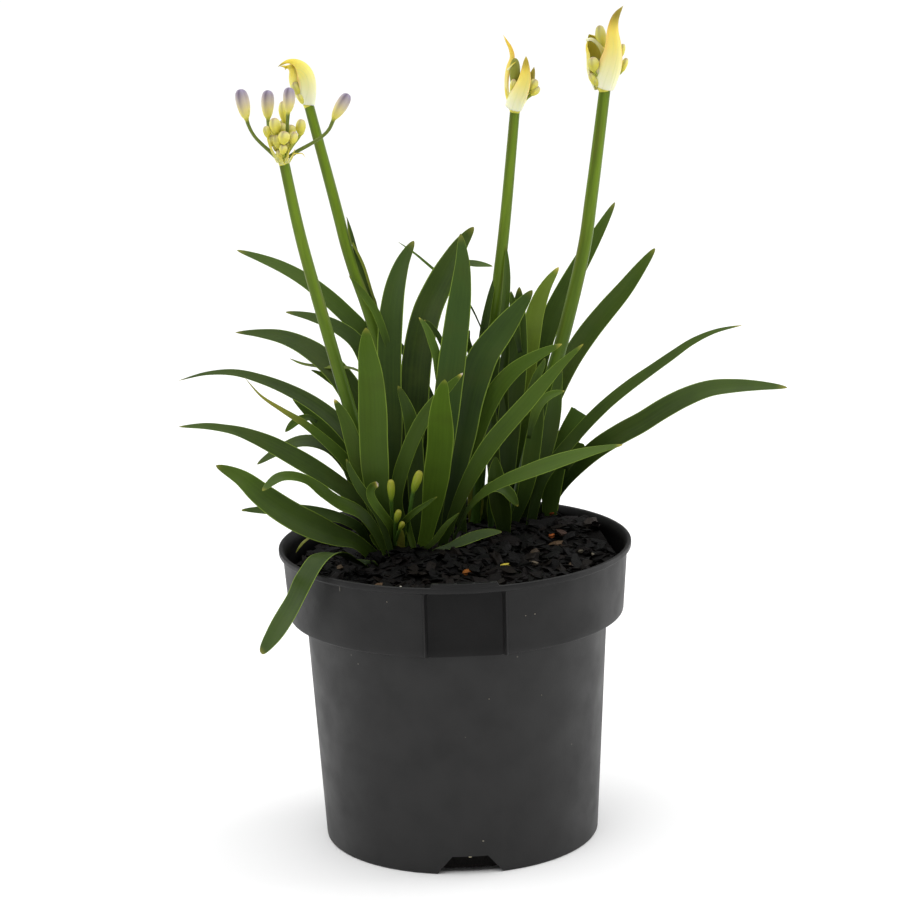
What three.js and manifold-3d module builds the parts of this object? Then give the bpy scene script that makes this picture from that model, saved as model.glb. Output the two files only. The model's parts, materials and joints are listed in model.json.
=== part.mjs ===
// A potted agapanthus: a nursery pot, its compost, and one clump of strap leaves with four
// flower stems in bud. Units are millimetres and +Z is up. The origin is the centre of the
// pot's base on the surface it stands on, and the front of the plant faces -Y.
import * as THREE from 'three';
import { mergeVertices } from 'three/addons/utils/BufferGeometryUtils.js';
import Module from 'manifold-3d';

const wasm = await Module();
wasm.setup();

// ---------------------------------------------------------------- driving dimensions

const GAP = 0.3; // clear space between neighbouring pieces

// Pot: a thin tapered body with a wide collar, a lip on the collar and a closed base.
const WALL = 1.5;
const BASE_RADIUS = 55.2;
const SHOULDER_RADIUS = 60.4;
const SHOULDER_HEIGHT = 92;
const COLLAR_BOTTOM_RADIUS = 67;
const COLLAR_TOP_RADIUS = 68.9;
const LIP_RADIUS = 70.5;
const LIP_HEIGHT = 2.2;
const POT_HEIGHT = 120.6;
const FLOOR_THICKNESS = 1.8;
const POT_SIDES = 60;
const POT_TURN = THREE.MathUtils.degToRad(3); // the label panel sits just right of centre

// Label panel: a flat recess in the collar, with a slotted tab on the rim above it.
const PANEL_WIDTH = 29;
const PANEL_FACE = 65.2; // distance of the panel's face from the pot's axis
const TAB_WIDTH = 28;
const TAB_TOP_WIDTH = 23;
const TAB_HEIGHT = 2.2;
const TAB_THICKNESS = 2.4;
const TAB_SETBACK = 0.3; // how far the tab's face stands in from the lip
const TAB_SLOTS = 3;
const TAB_SLOT_LENGTH = 6;
const TAB_SLOT_WIDTH = 1;
const FRONT_CUT = { y0: -80, y1: -50 }; // run of a cutter that passes through the front wall

// Drain notches: trapezoids cut through the corner between the wall and the base.
const NOTCHES = 3;
const NOTCH_BOTTOM_WIDTH = 26;
const NOTCH_TOP_WIDTH = 14;
const NOTCH_HEIGHT = 7.5;
const NOTCH_REACH = 9; // how far it runs in under the base

// Compost: a low mound, highest between the shoots.
const MIX_EDGE_HEIGHT = 109.5;
const MOUND_RISE = 6.5;
const MOUND_SPREAD = 42;
const MOUND_CENTRE = [5, 20];

// Leaves: a shallow channel with thin edges.
const LEAF_THICKNESS = 1.1;
const LEAF_CHANNEL = 0.1; // channel depth as a share of the width
const LEAF_FOOT = 0.5; // width at the foot as a share of the widest
const LEAF_STEP = 11; // distance between cross-sections along a leaf

// ---------------------------------------------------------------- materials

function finish(color, roughness) {
  return new THREE.MeshStandardMaterial({ color, roughness, metalness: 0, flatShading: true });
}

const potPlastic = finish(0x3b3a3a, 0.55);
const compost = finish(0x1d1713, 1);
const leafGreen = finish(0x36561f, 0.45);
const leafLight = finish(0x4f7a26, 0.45);
const stemGreen = finish(0x6b9028, 0.4);
const spatheYellow = finish(0xf0e98a, 0.6);
const budLavender = finish(0xa9a3c4, 0.5);
const budGreen = finish(0xb7c04a, 0.5);

// ---------------------------------------------------------------- closed meshes

const vec = (p) => new THREE.Vector3(...p);

// Signed volume, positive when the faces point out.
function signedVolume(position, index) {
  const a = new THREE.Vector3();
  const b = new THREE.Vector3();
  const c = new THREE.Vector3();
  let six = 0;
  for (let i = 0; i < index.length; i += 3) {
    a.fromBufferAttribute(position, index[i]);
    b.fromBufferAttribute(position, index[i + 1]);
    c.fromBufferAttribute(position, index[i + 2]);
    six += a.dot(b.cross(c));
  }
  return six / 6;
}

// Shares vertices, drops faces without area and turns the faces outwards.
function closed(geometry) {
  geometry.deleteAttribute('normal');
  geometry.deleteAttribute('uv');
  const merged = mergeVertices(geometry, 1e-3);
  const source = merged.index.array;
  const index = [];
  for (let i = 0; i < source.length; i += 3) {
    const [a, b, c] = [source[i], source[i + 1], source[i + 2]];
    if (a !== b && b !== c && c !== a) index.push(a, b, c);
  }
  if (signedVolume(merged.attributes.position, index) < 0) index.reverse();
  merged.setIndex(index);
  return merged;
}

function toSolid(geometry) {
  const mesh = closed(geometry);
  return new wasm.Manifold(new wasm.Mesh({
    numProp: 3,
    vertProperties: Float32Array.from(mesh.attributes.position.array),
    triVerts: Uint32Array.from(mesh.index.array),
  }));
}

function fromSolid(solid) {
  const mesh = solid.getMesh();
  const geometry = new THREE.BufferGeometry();
  geometry.setAttribute('position', new THREE.BufferAttribute(mesh.vertProperties, 3));
  geometry.setIndex(new THREE.BufferAttribute(mesh.triVerts, 1));
  return geometry;
}

// Skins equal rings of points in order; each end closes on a point of its own.
function skin(rings, startPoint, endPoint) {
  const size = rings[0].length;
  const points = [...rings.flat(), startPoint, endPoint];
  const start = points.length - 2;
  const end = points.length - 1;
  const lastRing = (rings.length - 1) * size;
  const index = [];
  for (let j = 0; j < size; j += 1) {
    const next = (j + 1) % size;
    index.push(start, next, j, end, lastRing + j, lastRing + next);
    for (let i = 0; i < rings.length - 1; i += 1) {
      const low = i * size;
      const high = low + size;
      index.push(low + j, low + next, high + next, low + j, high + next, high + j);
    }
  }
  const geometry = new THREE.BufferGeometry().setFromPoints(points);
  geometry.setIndex(index);
  return closed(geometry);
}

// ---------------------------------------------------------------- compost surface

function mixHeight(x, y) {
  const reach = (x - MOUND_CENTRE[0]) ** 2 + (y - MOUND_CENTRE[1]) ** 2;
  return MIX_EDGE_HEIGHT + MOUND_RISE * Math.exp(-reach / (2 * MOUND_SPREAD ** 2));
}

// ---------------------------------------------------------------- blades and stems

// The centre line of a shoot. The first point gives only x and y, because the foot stands
// on the compost; the others are x, y and z.
function centreLine([foot, ...rest], footReach) {
  const [x, y] = foot;
  const around = [-footReach, 0, footReach];
  const ground = Math.max(...around.flatMap((dx) => around.map((dy) => mixHeight(x + dx, y + dy))));
  const points = [new THREE.Vector3(x, y, ground + GAP), ...rest.map(vec)];
  return new THREE.CatmullRomCurve3(points, false, 'centripetal');
}

// Cross-section axes at a share u of the way along: forward, face (the channel's open
// side) and side. A foot on the compost is cut level.
function sectionAxes(curve, u, facing, tipFacing, levelFoot) {
  const forward = levelFoot && u === 0 ? new THREE.Vector3(0, 0, 1) : curve.getTangentAt(u);
  const face = vec(facing).lerp(vec(tipFacing), u);
  face.addScaledVector(forward, -face.dot(forward)).normalize();
  const side = new THREE.Vector3().crossVectors(forward, face);
  return { face, side };
}

// Share of the full width at u: narrow at the foot, widest past the middle, pointed.
function bladeShare(u, footShare) {
  const opening = THREE.MathUtils.smoothstep(u, 0, 0.45);
  const closing = u < 0.55 ? 1 : (1 - ((u - 0.55) / 0.45) ** 2.4) ** 0.75;
  return (footShare + (1 - footShare) * opening) * closing;
}

function blade(curve, options) {
  const { width, facing, tipFacing = facing, levelFoot = false } = options;
  const { footShare = LEAF_FOOT, channel = LEAF_CHANNEL, thickness = LEAF_THICKNESS } = options;
  const { step = LEAF_STEP } = options;
  const sections = Math.min(16, Math.max(7, Math.round(curve.getLength() / step)));
  const rings = [];
  for (let i = 0; i < sections; i += 1) {
    const u = i / sections;
    const { face, side } = sectionAxes(curve, u, facing, tipFacing, levelFoot);
    const centre = curve.getPointAt(u);
    const share = bladeShare(u, footShare);
    const half = (width / 2) * share;
    const rise = width * channel * share;
    const skinHalf = (thickness / 2) * (0.45 + 0.55 * share);
    const at = (across, up) => centre.clone().addScaledVector(side, across).addScaledVector(face, up);
    rings.push([at(-half, rise), at(0, -skinHalf), at(half, rise), at(0, skinHalf)]);
  }
  const startPoint = rings[0][1].clone().lerp(rings[0][3], 0.5);
  return skin(rings, startPoint, curve.getPointAt(1));
}

// A round stem or bud: radii pairs are [share of the way along, radius].
function roundShoot(curve, radii, options = {}) {
  const { sides = 8, sections = 8, levelFoot = false, blunt = true } = options;
  const radiusAt = (u) => {
    const after = radii.findIndex(([share]) => share >= u);
    if (after <= 0) return radii[0][1];
    const [u0, r0] = radii[after - 1];
    const [u1, r1] = radii[after];
    return THREE.MathUtils.lerp(r0, r1, (u - u0) / (u1 - u0));
  };
  const shares = new Set(radii.map(([share]) => share));
  for (let i = 0; i <= sections; i += 1) shares.add(i / sections);
  const along = [...shares].sort((a, b) => a - b).filter((u) => blunt || u < 1);
  const rings = along.map((u) => {
    const { face, side } = sectionAxes(curve, u, [0.02, -1, 0.03], [0.02, -1, 0.03], levelFoot);
    const centre = curve.getPointAt(u);
    const ring = [];
    for (let j = 0; j < sides; j += 1) {
      const angle = (j / sides) * Math.PI * 2;
      const point = centre.clone().addScaledVector(side, radiusAt(u) * Math.cos(angle));
      ring.push(point.addScaledVector(face, radiusAt(u) * Math.sin(angle)));
    }
    return ring;
  });
  return skin(rings, curve.getPointAt(0), curve.getPointAt(1));
}

const curveThrough = (points) => new THREE.CatmullRomCurve3(points.map(vec), false, 'centripetal');

// ---------------------------------------------------------------- assembly helpers

const plant = new THREE.Group();

function place(name, geometry, material) {
  const mesh = new THREE.Mesh(geometry, material);
  mesh.name = name;
  plant.add(mesh);
}

function leaf(name, width, facing, path, tipFacing = facing, material = leafGreen) {
  const curve = centreLine(path, (width * LEAF_FOOT) / 2);
  const geometry = blade(curve, { width, facing, tipFacing, levelFoot: true });
  place(`leaf_${name}`, geometry, material);
}

// ---------------------------------------------------------------- pot

function revolved(profile, sides = POT_SIDES) {
  const points = profile.map(([radius, height]) => new THREE.Vector2(radius, height));
  return new THREE.LatheGeometry(points, sides).rotateX(Math.PI / 2);
}

function boxBetween([x0, y0, z0], [x1, y1, z1]) {
  const box = new THREE.BoxGeometry(x1 - x0, y1 - y0, z1 - z0);
  return box.translate((x0 + x1) / 2, (y0 + y1) / 2, (z0 + z1) / 2);
}

// A trapezoid in the XZ plane, run from y0 to y1.
function trapezoid(bottomWidth, topWidth, z0, z1, { y0, y1 }) {
  const outline = new THREE.Shape([
    new THREE.Vector2(-bottomWidth / 2, z0),
    new THREE.Vector2(bottomWidth / 2, z0),
    new THREE.Vector2(topWidth / 2, z1),
    new THREE.Vector2(-topWidth / 2, z1),
  ]);
  const run = new THREE.ExtrudeGeometry(outline, { depth: y1 - y0, bevelEnabled: false });
  return run.rotateX(Math.PI / 2).translate(0, y1, 0);
}

function potShell() {
  const lipBottom = POT_HEIGHT - LIP_HEIGHT;
  const collarInner = COLLAR_TOP_RADIUS - WALL;
  return revolved([
    [0, 0],
    [BASE_RADIUS - 1, 0],
    [BASE_RADIUS, 1],
    [SHOULDER_RADIUS, SHOULDER_HEIGHT],
    [COLLAR_BOTTOM_RADIUS - 1, SHOULDER_HEIGHT + 0.2],
    [COLLAR_BOTTOM_RADIUS, SHOULDER_HEIGHT + 1.2],
    [COLLAR_TOP_RADIUS, lipBottom],
    [LIP_RADIUS, lipBottom + 0.4],
    [LIP_RADIUS, POT_HEIGHT - 0.5],
    [LIP_RADIUS - 0.5, POT_HEIGHT],
    [collarInner + 0.8, POT_HEIGHT],
    [collarInner, POT_HEIGHT - 1.2],
    [COLLAR_BOTTOM_RADIUS - WALL, SHOULDER_HEIGHT + 1.8],
    [SHOULDER_RADIUS - WALL, SHOULDER_HEIGHT + 1.8],
    [SHOULDER_RADIUS - WALL, SHOULDER_HEIGHT - 0.3],
    [BASE_RADIUS - WALL, FLOOR_THICKNESS],
    [0, FLOOR_THICKNESS],
  ]);
}

function labelTab() {
  const outer = LIP_RADIUS - TAB_SETBACK;
  const inner = outer - TAB_THICKNESS;
  const z0 = POT_HEIGHT - 0.8;
  const z1 = POT_HEIGHT + TAB_HEIGHT;
  const ring = revolved([[inner, z0], [outer, z0], [outer, z1], [inner, z1], [inner, z0]]);
  const run = trapezoid(TAB_WIDTH, TAB_TOP_WIDTH, z0 - 1, z1 + 1, FRONT_CUT);
  return toSolid(ring).intersect(toSolid(run));
}

// Slots that a label is pushed down into, through the tab and the lip.
function labelSlots() {
  const outer = LIP_RADIUS - TAB_SETBACK - (TAB_THICKNESS - TAB_SLOT_WIDTH) / 2;
  const inner = outer - TAB_SLOT_WIDTH;
  const z0 = POT_HEIGHT - LIP_HEIGHT - 1;
  const z1 = POT_HEIGHT + TAB_HEIGHT + 1;
  const ring = revolved([[inner, z0], [outer, z0], [outer, z1], [inner, z1], [inner, z0]]);
  const pitch = TAB_SLOT_LENGTH + 1;
  let runs = null;
  for (let i = 0; i < TAB_SLOTS; i += 1) {
    const x0 = (i - (TAB_SLOTS - 1) / 2) * pitch - TAB_SLOT_LENGTH / 2;
    const x1 = x0 + TAB_SLOT_LENGTH;
    const run = toSolid(boxBetween([x0, FRONT_CUT.y0, z0 - 1], [x1, FRONT_CUT.y1, z1 + 1]));
    runs = runs ? runs.add(run) : run;
  }
  return toSolid(ring).intersect(runs);
}

// The recessed panel's own wall, behind its face.
function panelWall(clearance = 0) {
  const half = PANEL_WIDTH / 2 + WALL + clearance;
  const front = -(COLLAR_TOP_RADIUS - WALL);
  const back = -(PANEL_FACE - WALL - clearance);
  const bottom = SHOULDER_HEIGHT + 0.4 - clearance;
  return boxBetween([-half, front, bottom], [half, back, POT_HEIGHT - 1.4]);
}

function potSolid() {
  const half = PANEL_WIDTH / 2;
  const recessTop = POT_HEIGHT - LIP_HEIGHT;
  const recess = boxBetween([-half, FRONT_CUT.y0, SHOULDER_HEIGHT - 1], [half, -PANEL_FACE, recessTop]);
  let solid = toSolid(potShell()).add(toSolid(panelWall())).subtract(toSolid(recess));
  solid = solid.add(labelTab()).subtract(labelSlots());
  const notchRun = { y0: FRONT_CUT.y0, y1: -(BASE_RADIUS - NOTCH_REACH) };
  for (let i = 0; i < NOTCHES; i += 1) {
    const notch = trapezoid(NOTCH_BOTTOM_WIDTH + 2, NOTCH_TOP_WIDTH, -1, NOTCH_HEIGHT, notchRun);
    solid = solid.subtract(toSolid(notch.rotateZ((i / NOTCHES) * Math.PI * 2)));
  }
  return solid;
}

place('pot', closed(fromSolid(potSolid()).rotateZ(POT_TURN)), potPlastic);

// ---------------------------------------------------------------- compost

// The compost fills the pot to GAP from its walls, with the mound as its top.
function pottingMix() {
  const rimRadius = COLLAR_BOTTOM_RADIUS - WALL - GAP;
  const topRadii = [8, 16, 24, 32, 40, 48, 56, 61, rimRadius];
  const ringAt = (radius, height) => {
    const ring = [];
    for (let j = 0; j < POT_SIDES; j += 1) {
      const angle = (j / POT_SIDES) * Math.PI * 2;
      const [x, y] = [radius * Math.cos(angle), radius * Math.sin(angle)];
      ring.push(new THREE.Vector3(x, y, height ?? mixHeight(x, y)));
    }
    return ring;
  };
  const rings = [
    ringAt(BASE_RADIUS - WALL - GAP - 0.3, FLOOR_THICKNESS + GAP),
    ringAt(SHOULDER_RADIUS - WALL - GAP - 0.2, SHOULDER_HEIGHT - 0.3),
    ringAt(SHOULDER_RADIUS - WALL - GAP - 0.2, SHOULDER_HEIGHT + 2.4),
    ringAt(rimRadius - 0.3, SHOULDER_HEIGHT + 2.4),
    ...topRadii.reverse().map((radius) => ringAt(radius)),
  ];
  const bottom = new THREE.Vector3(0, 0, FLOOR_THICKNESS + GAP);
  const top = new THREE.Vector3(0, 0, mixHeight(0, 0));
  const panel = toSolid(panelWall(GAP).rotateZ(POT_TURN));
  return closed(fromSolid(toSolid(skin(rings, bottom, top)).subtract(panel)));
}

place('potting_mix', pottingMix(), compost);

// ---------------------------------------------------------------- leaves

// Facings: the side that the channel opens to.
const TO_FRONT = [0, -1, 0.1];
const UP_FRONT = [0, -0.6, 0.8];
const LEANING = [0, -0.8, 0.5];

// Left shoot, back to front.
leaf('back_left_high', 9.5, LEANING,
  [[-22, 34], [-23.5, 36.5, 158.5], [-31.5, 38, 194], [-41.5, 41.5, 206], [-58, 47, 219.5],
    [-71, 52, 226], [-86.5, 58, 231]]);
leaf('back_left_mid', 6.5, LEANING,
  [[-31, 26], [-29.5, 29, 160], [-35.5, 33, 193], [-43.5, 35, 201], [-53.5, 37, 205.5],
    [-66.5, 40, 208]]);
leaf('left_broad', 10.5, LEANING,
  [[-26, 22], [-30, 22, 141], [-37, 23, 170], [-46.5, 26, 185.5], [-58, 31, 194.5],
    [-70.5, 36, 199], [-87.5, 43, 199.5]]);
leaf('left_arch_high', 9.5, UP_FRONT,
  [[-29, 15], [-35, 14, 149], [-45, 12, 166], [-61, 11, 179], [-84, 9, 189], [-96, 7, 190], [-108, 4, 188]]);
leaf('left_under', 9, LEANING, [[-27, 18], [-37, 18, 139], [-44, 18, 156], [-54, 19, 168], [-64, 20, 177]]);
leaf('left_hidden', 7, UP_FRONT,
  [[-34, 18], [-40, 20, 142], [-51, 22, 155], [-66, 26, 156], [-73, 28, 151], [-80, 30, 147]]);
leaf('left_pale', 6, LEANING,
  [[-31, 12], [-37, 10, 144], [-49, 6, 161], [-59, 3, 171], [-76, -3, 184], [-81, -6, 191]],
  LEANING, leafLight);
leaf('left_low_tip', 6, UP_FRONT,
  [[-36, 10], [-38, 9, 124], [-50, 8, 130], [-62, 6, 133], [-75, 4, 134], [-85, 2, 135]]);
leaf('left_arch_low', 9.5, UP_FRONT,
  [[-28, 7.5], [-35.5, 7, 134], [-45, 5.5, 143], [-57.5, 3, 153], [-73, 0, 163.5],
    [-83.5, -6, 169.5], [-94.5, -17, 174], [-106, -24, 175.5]]);
leaf('front_pink_tip', 7, TO_FRONT,
  [[-29, 6], [-32, 5, 135], [-36, 3, 148], [-42, -2, 172], [-46, -5, 181]]);
leaf('front_tongue', 11.5, TO_FRONT,
  [[-26, 2], [-30, 1, 138], [-31, 0, 154.5], [-31, -3, 171.5], [-31, -8, 188], [-32, -14, 202.5],
    [-32, -20, 212]], TO_FRONT, leafLight);
leaf('front_left_broad', 12, LEANING,
  [[-33, 3], [-35.5, 1, 118.5], [-48, -8, 127], [-60.5, -18, 137], [-73, -28, 149],
    [-82, -34, 157.5], [-91, -38, 163]], LEANING, leafLight);
leaf('left_small_arch', 6, UP_FRONT,
  [[-27, 0], [-35, -2, 131.5], [-47.5, -9, 141.5], [-57.5, -18, 152.5], [-63.5, -25, 156],
    [-70.5, -33, 155.5], [-73.5, -38, 152.5]]);
leaf('front_small', 4, TO_FRONT, [[-25, -3], [-30, -4, 134], [-36, -5, 143], [-40, -6, 151], [-42, -7, 157]]);
leaf('rim_drape', 8.5, [-0.2, -0.5, 0.8],
  [[-35, -9], [-40, -17, 118], [-44, -25, 123], [-48, -35, 126], [-52, -44, 126], [-57, -50, 120],
    [-62, -47, 110], [-69, -40, 98], [-77, -34, 86]], [-0.5, -0.85, 0.1]);

// Middle shoot, back to front.
leaf('tall_dark', 11.5, TO_FRONT,
  [[-16, 24], [-18.5, 23, 140.5], [-16.5, 26, 173], [-15, 31, 192.5], [-11, 38, 208.5],
    [-5.5, 44, 219], [1, 50, 228], [11, 58, 238]]);
leaf('tall_left', 10, TO_FRONT,
  [[-20, 19], [-25.5, 17, 134], [-25, 20, 162], [-25, 25, 187.5], [-23.5, 31, 209.5],
    [-20, 38, 224], [-13.5, 45, 235]]);
leaf('tall_centre', 11, TO_FRONT,
  [[-9, 18], [-5, 17, 150], [-1, 19, 178], [2, 22, 197.5], [4.5, 25, 214], [6, 28, 227],
    [5.5, 32, 239.5]]);
leaf('left_inner', 7, TO_FRONT, [[-16, 14], [-15, 14, 147], [-16, 13, 166], [-18, 12, 174], [-21, 12, 182]]);
leaf('centre_pale_tip', 6, TO_FRONT,
  [[-17, 9], [-23, 8, 136], [-19, 6, 153], [-14, 4, 165], [-8, 2, 175], [0, 1, 184], [5, 0, 189]]);
leaf('front_centre', 10.5, TO_FRONT,
  [[-13, 6], [-9.5, 4, 130.5], [-6.5, -2, 148.5], [-4.5, -8, 164], [-4, -16, 179.5],
    [-2, -24, 191.5]], TO_FRONT, leafLight);
leaf('front_sliver', 4, LEANING, [[-14, 2], [-8, -1, 121], [-3, -3, 128], [2, -4, 133]]);
leaf('right_lance', 12.5, TO_FRONT,
  [[-4, 22], [0, 23, 142], [4, 25, 160], [8, 27, 176], [13, 29, 189], [20, 32, 198], [34, 36, 215]]);
leaf('right_short', 7.5, LEANING,
  [[3, 29], [3, 30, 134], [7, 31, 150], [14, 31, 167], [22, 28, 180], [31, 24, 188], [45, 18, 196]],
  LEANING, leafLight);
leaf('right_shadow', 8, TO_FRONT, [[2, 34], [3, 35, 137], [8, 37, 153], [14, 40, 171], [20, 43, 191]]);
leaf('front_right_long', 7.5, [-0.3, -0.8, 0.4],
  [[-5, 11], [2.5, 5, 136], [10, 0, 151.5], [18.5, -5, 164.5], [27.5, -10, 175.5], [36, -14, 186],
    [43.5, -18, 195], [52, -21, 203.5]], [-0.3, -0.8, 0.4], leafLight);
leaf('front_right_low', 8.5, [-0.8, -0.5, 0.3],
  [[-1, 15], [8, 1, 136], [19, -9, 146], [30, -17, 152], [43, -24, 158], [56, -30, 163], [66, -34, 166]],
  UP_FRONT, leafLight);
leaf('front_short', 5, UP_FRONT, [[-6, 4], [2, 8, 117.5], [8, 11, 119], [14, 13, 120], [19, 14, 120]]);

// Right shoot, back to front.
leaf('back_right_tall', 8.5, TO_FRONT,
  [[25, 57], [29, 59, 143.5], [33.5, 62, 168.5], [41, 67, 194], [48.5, 72, 208], [58.5, 77, 224],
    [65.5, 81, 235], [70.5, 86, 242.5]]);
leaf('olive_tip', 9, TO_FRONT,
  [[20, 51], [26, 52, 141], [28.5, 54, 166], [32.5, 58, 190], [36, 63, 203], [40.5, 67, 211.5],
    [46, 72, 218]]);
leaf('right_tall', 9, TO_FRONT,
  [[30, 53], [34, 53, 140.5], [43, 54, 165.5], [53.5, 55, 186], [62, 56, 198], [71, 57.5, 208.5],
    [79, 58, 219], [85.5, 62, 226.5]]);
leaf('right_arch', 9.5, LEANING,
  [[34, 48], [46, 47, 133], [61, 44, 148], [77, 41, 158], [91, 39, 167], [104, 36, 173], [115, 32, 175],
    [136, 26, 174]], UP_FRONT);
leaf('right_folded', 8, TO_FRONT,
  [[30, 46], [38, 46, 135], [44, 47, 148], [49, 47, 158], [52, 47, 163], [57, 44, 160]]);
leaf('back_upright', 10, TO_FRONT,
  [[16, 42], [21, 43, 134], [23, 45, 155], [26, 47, 176], [28, 49, 196], [29, 50, 214]]);
leaf('right_inner', 7, TO_FRONT,
  [[27, 42], [31, 41, 130], [37, 40, 145], [41, 40, 160], [43, 40, 172], [45, 40, 182]]);
leaf('right_front_upright', 7, TO_FRONT,
  [[23, 38], [28, 37, 127], [31, 35, 140], [33, 33, 153], [35, 31, 164], [36, 30, 173]]);
leaf('right_slender', 7.5, UP_FRONT,
  [[31, 38], [36.5, 37, 135.5], [46, 36, 148], [60.5, 31, 164.5], [74.5, 25, 177],
    [85.5, 20, 185.5], [96, 15, 194], [106.5, 10, 200.5], [116, 6, 204]]);
leaf('right_bent', 6, [-0.6, 0.7, 0.4],
  [[15, 33], [15.5, 32, 124], [16.5, 29.5, 131.5], [19, 26.5, 135.5], [22.5, 23, 134], [26, 20, 128]],
  [0.6, -0.7, 0.4]);

// ---------------------------------------------------------------- flower stems

const STEM_TIP_SHARE = 0.72; // radius at the top as a share of that at the foot

function stem(name, radius, path) {
  const curve = centreLine(path, radius);
  const radii = [[0, radius], [1, radius * STEM_TIP_SHARE]];
  place(`stem_${name}`, roundShoot(curve, radii, { sections: 10, levelFoot: true }), stemGreen);
}

stem('left', 2.7,
  [[-21.5, 10], [-30, 8, 140], [-39, 6, 168], [-48.5, 3, 206], [-57, 0, 244], [-61.8, -2, 274]]);
stem('back_left', 2.6,
  [[-12, 30], [-21, 32, 164], [-32, 34, 206.5], [-39, 36, 230], [-44.5, 38, 254], [-53.8, 40, 291.5]]);
stem('centre', 2.6,
  [[8.5, 46], [14, 45, 168], [19.3, 44, 210], [22.2, 43, 231], [24.7, 43, 251], [28.7, 42, 286.5]]);
stem('right', 3,
  [[24, 48], [34, 47, 154], [44.6, 46, 188.5], [54.2, 44, 226], [58.2, 43, 250], [64.4, 41, 294]]);

// ---------------------------------------------------------------- flower heads

// A bud on its stalk: radii run from the stalk, through the neck, to the rounded tip.
function stalkedBud(path, stalkShare, stalkRadius, budRadius, sections = 3) {
  const span = 1 - stalkShare;
  const radii = [
    [0, stalkRadius],
    [stalkShare, stalkRadius],
    [stalkShare + span * 0.3, budRadius * 0.75],
    [stalkShare + span * 0.62, budRadius],
    [stalkShare + span * 0.88, budRadius * 0.68],
    [1, 0],
  ];
  return roundShoot(curveThrough(path), radii, { sections, blunt: false });
}

function joined(geometries) {
  return closed(fromSolid(geometries.map(toSolid).reduce((a, b) => a.add(b))));
}

function spathe(name, width, facing, path, channel = 0.35, tipFacing = facing) {
  const options = { width, facing, tipFacing, channel, footShare: 0.55, thickness: 0.8, step: 4 };
  place(`spathe_${name}`, blade(curveThrough(path), options), spatheYellow);
}

// Left head: open, with four coloured buds around a knot of small ones.
function colouredBud(name, path, stalkShare, budRadius) {
  place(`bud_left_${name}`, stalkedBud(path, stalkShare, 0.8, budRadius), budLavender);
}

colouredBud('outer',
  [[-65, -2.8, 277.2], [-72.2, -4, 284.3], [-76.1, -5, 291.4], [-77.4, -6, 303.5]], 0.52, 2.9);
colouredBud('back',
  [[-62.9, 0.8, 278.2], [-66.2, 7, 281.5], [-68.4, 11, 289], [-68.2, 12, 301]], 0.47, 2.7);
colouredBud('front',
  [[-60.6, -7.6, 280], [-60, -8.6, 287], [-59.5, -9.2, 294], [-58.5, -10, 304]], 0.58, 2.6);
colouredBud('right',
  [[-58.7, -0.9, 276.8], [-50.9, 2, 281.7], [-43, 4, 289], [-36.5, 5, 299.5]], 0.6, 2.7);

function leftKnot() {
  const low = [-61.8, -2, 274.6];
  const heart = [-61.8, -2, 277];
  const high = [-61.8, -2, 279.5];
  return joined([
    roundShoot(curveThrough([low, high]), [[0, 1.8], [0.6, 2.3], [1, 1.4]], { sections: 2 }),
    stalkedBud([heart, [-62.3, 5, 287], [-62.8, 9, 299]], 0.5, 0.7, 1.9, 2),
    stalkedBud([heart, [-57.4, 3, 280], [-55.5, 5, 289]], 0.5, 0.6, 1.7, 2),
    stalkedBud([heart, [-65.4, -5, 283], [-64.2, -6, 292]], 0.35, 0.6, 1.8, 2),
    stalkedBud([heart, [-67.4, -1, 282], [-68.3, 0, 288]], 0.4, 0.6, 1.7, 2),
    stalkedBud([heart, [-58.8, -3, 281], [-57.8, -4, 287]], 0.4, 0.6, 1.6, 2),
    stalkedBud([heart, [-62.4, -5, 280], [-62.6, -6.4, 284]], 0.3, 0.6, 1.6, 2),
  ]);
}

place('small_buds_left', leftKnot(), budGreen);
place('spathe_left_remnant',
  blade(curveThrough([[-60, -4, 275.6], [-57, -5, 274.6], [-53.4, -6, 276.6]]),
    { width: 2.2, facing: [0, -0.5, 0.9], thickness: 0.5, step: 2, channel: 0.15 }), spatheYellow);

// Back-left head: a hooded spathe with its buds on the open side.
spathe('back_left', 8, [-1, -0.25, 0],
  [[-52.3, 40, 292.4], [-50.9, 40, 297], [-51.3, 40, 302], [-53.6, 40, 307], [-57.6, 40, 310.2],
    [-65.5, 40, 308]], 0.5, [0, -0.2, -1]);
place('buds_back_left',
  stalkedBud([[-55.2, 39.6, 292.4], [-57.6, 39, 295], [-58.6, 39, 298], [-59.3, 39, 302.4]], 0.2, 0.8, 2, 2),
  budGreen);

// Centre head: a split spathe, its buds showing between the two halves.
spathe('centre_left', 5.4, [1, -0.3, 0],
  [[26.9, 42.6, 287], [25, 43.6, 294], [24.8, 44, 301], [25.8, 44, 306], [26.4, 44, 311], [24.6, 44, 317.5]],
  0.35);
spathe('centre_front', 7.4, [0, 1, 0],
  [[29.3, 40.2, 287.2], [31.6, 38, 293.7], [32.9, 37.6, 301], [33.4, 39, 308.6]], 0.3);
place('buds_centre', joined([
  stalkedBud([[29.6, 42.6, 287.2], [28.9, 43, 296], [28.9, 43, 305]], 0.25, 0.8, 1.9, 2),
  stalkedBud([[29.6, 42.8, 287.4], [34.4, 43.4, 292.5], [37.3, 43.8, 297.3]], 0.35, 0.7, 1.9, 2),
]), budGreen);

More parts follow.
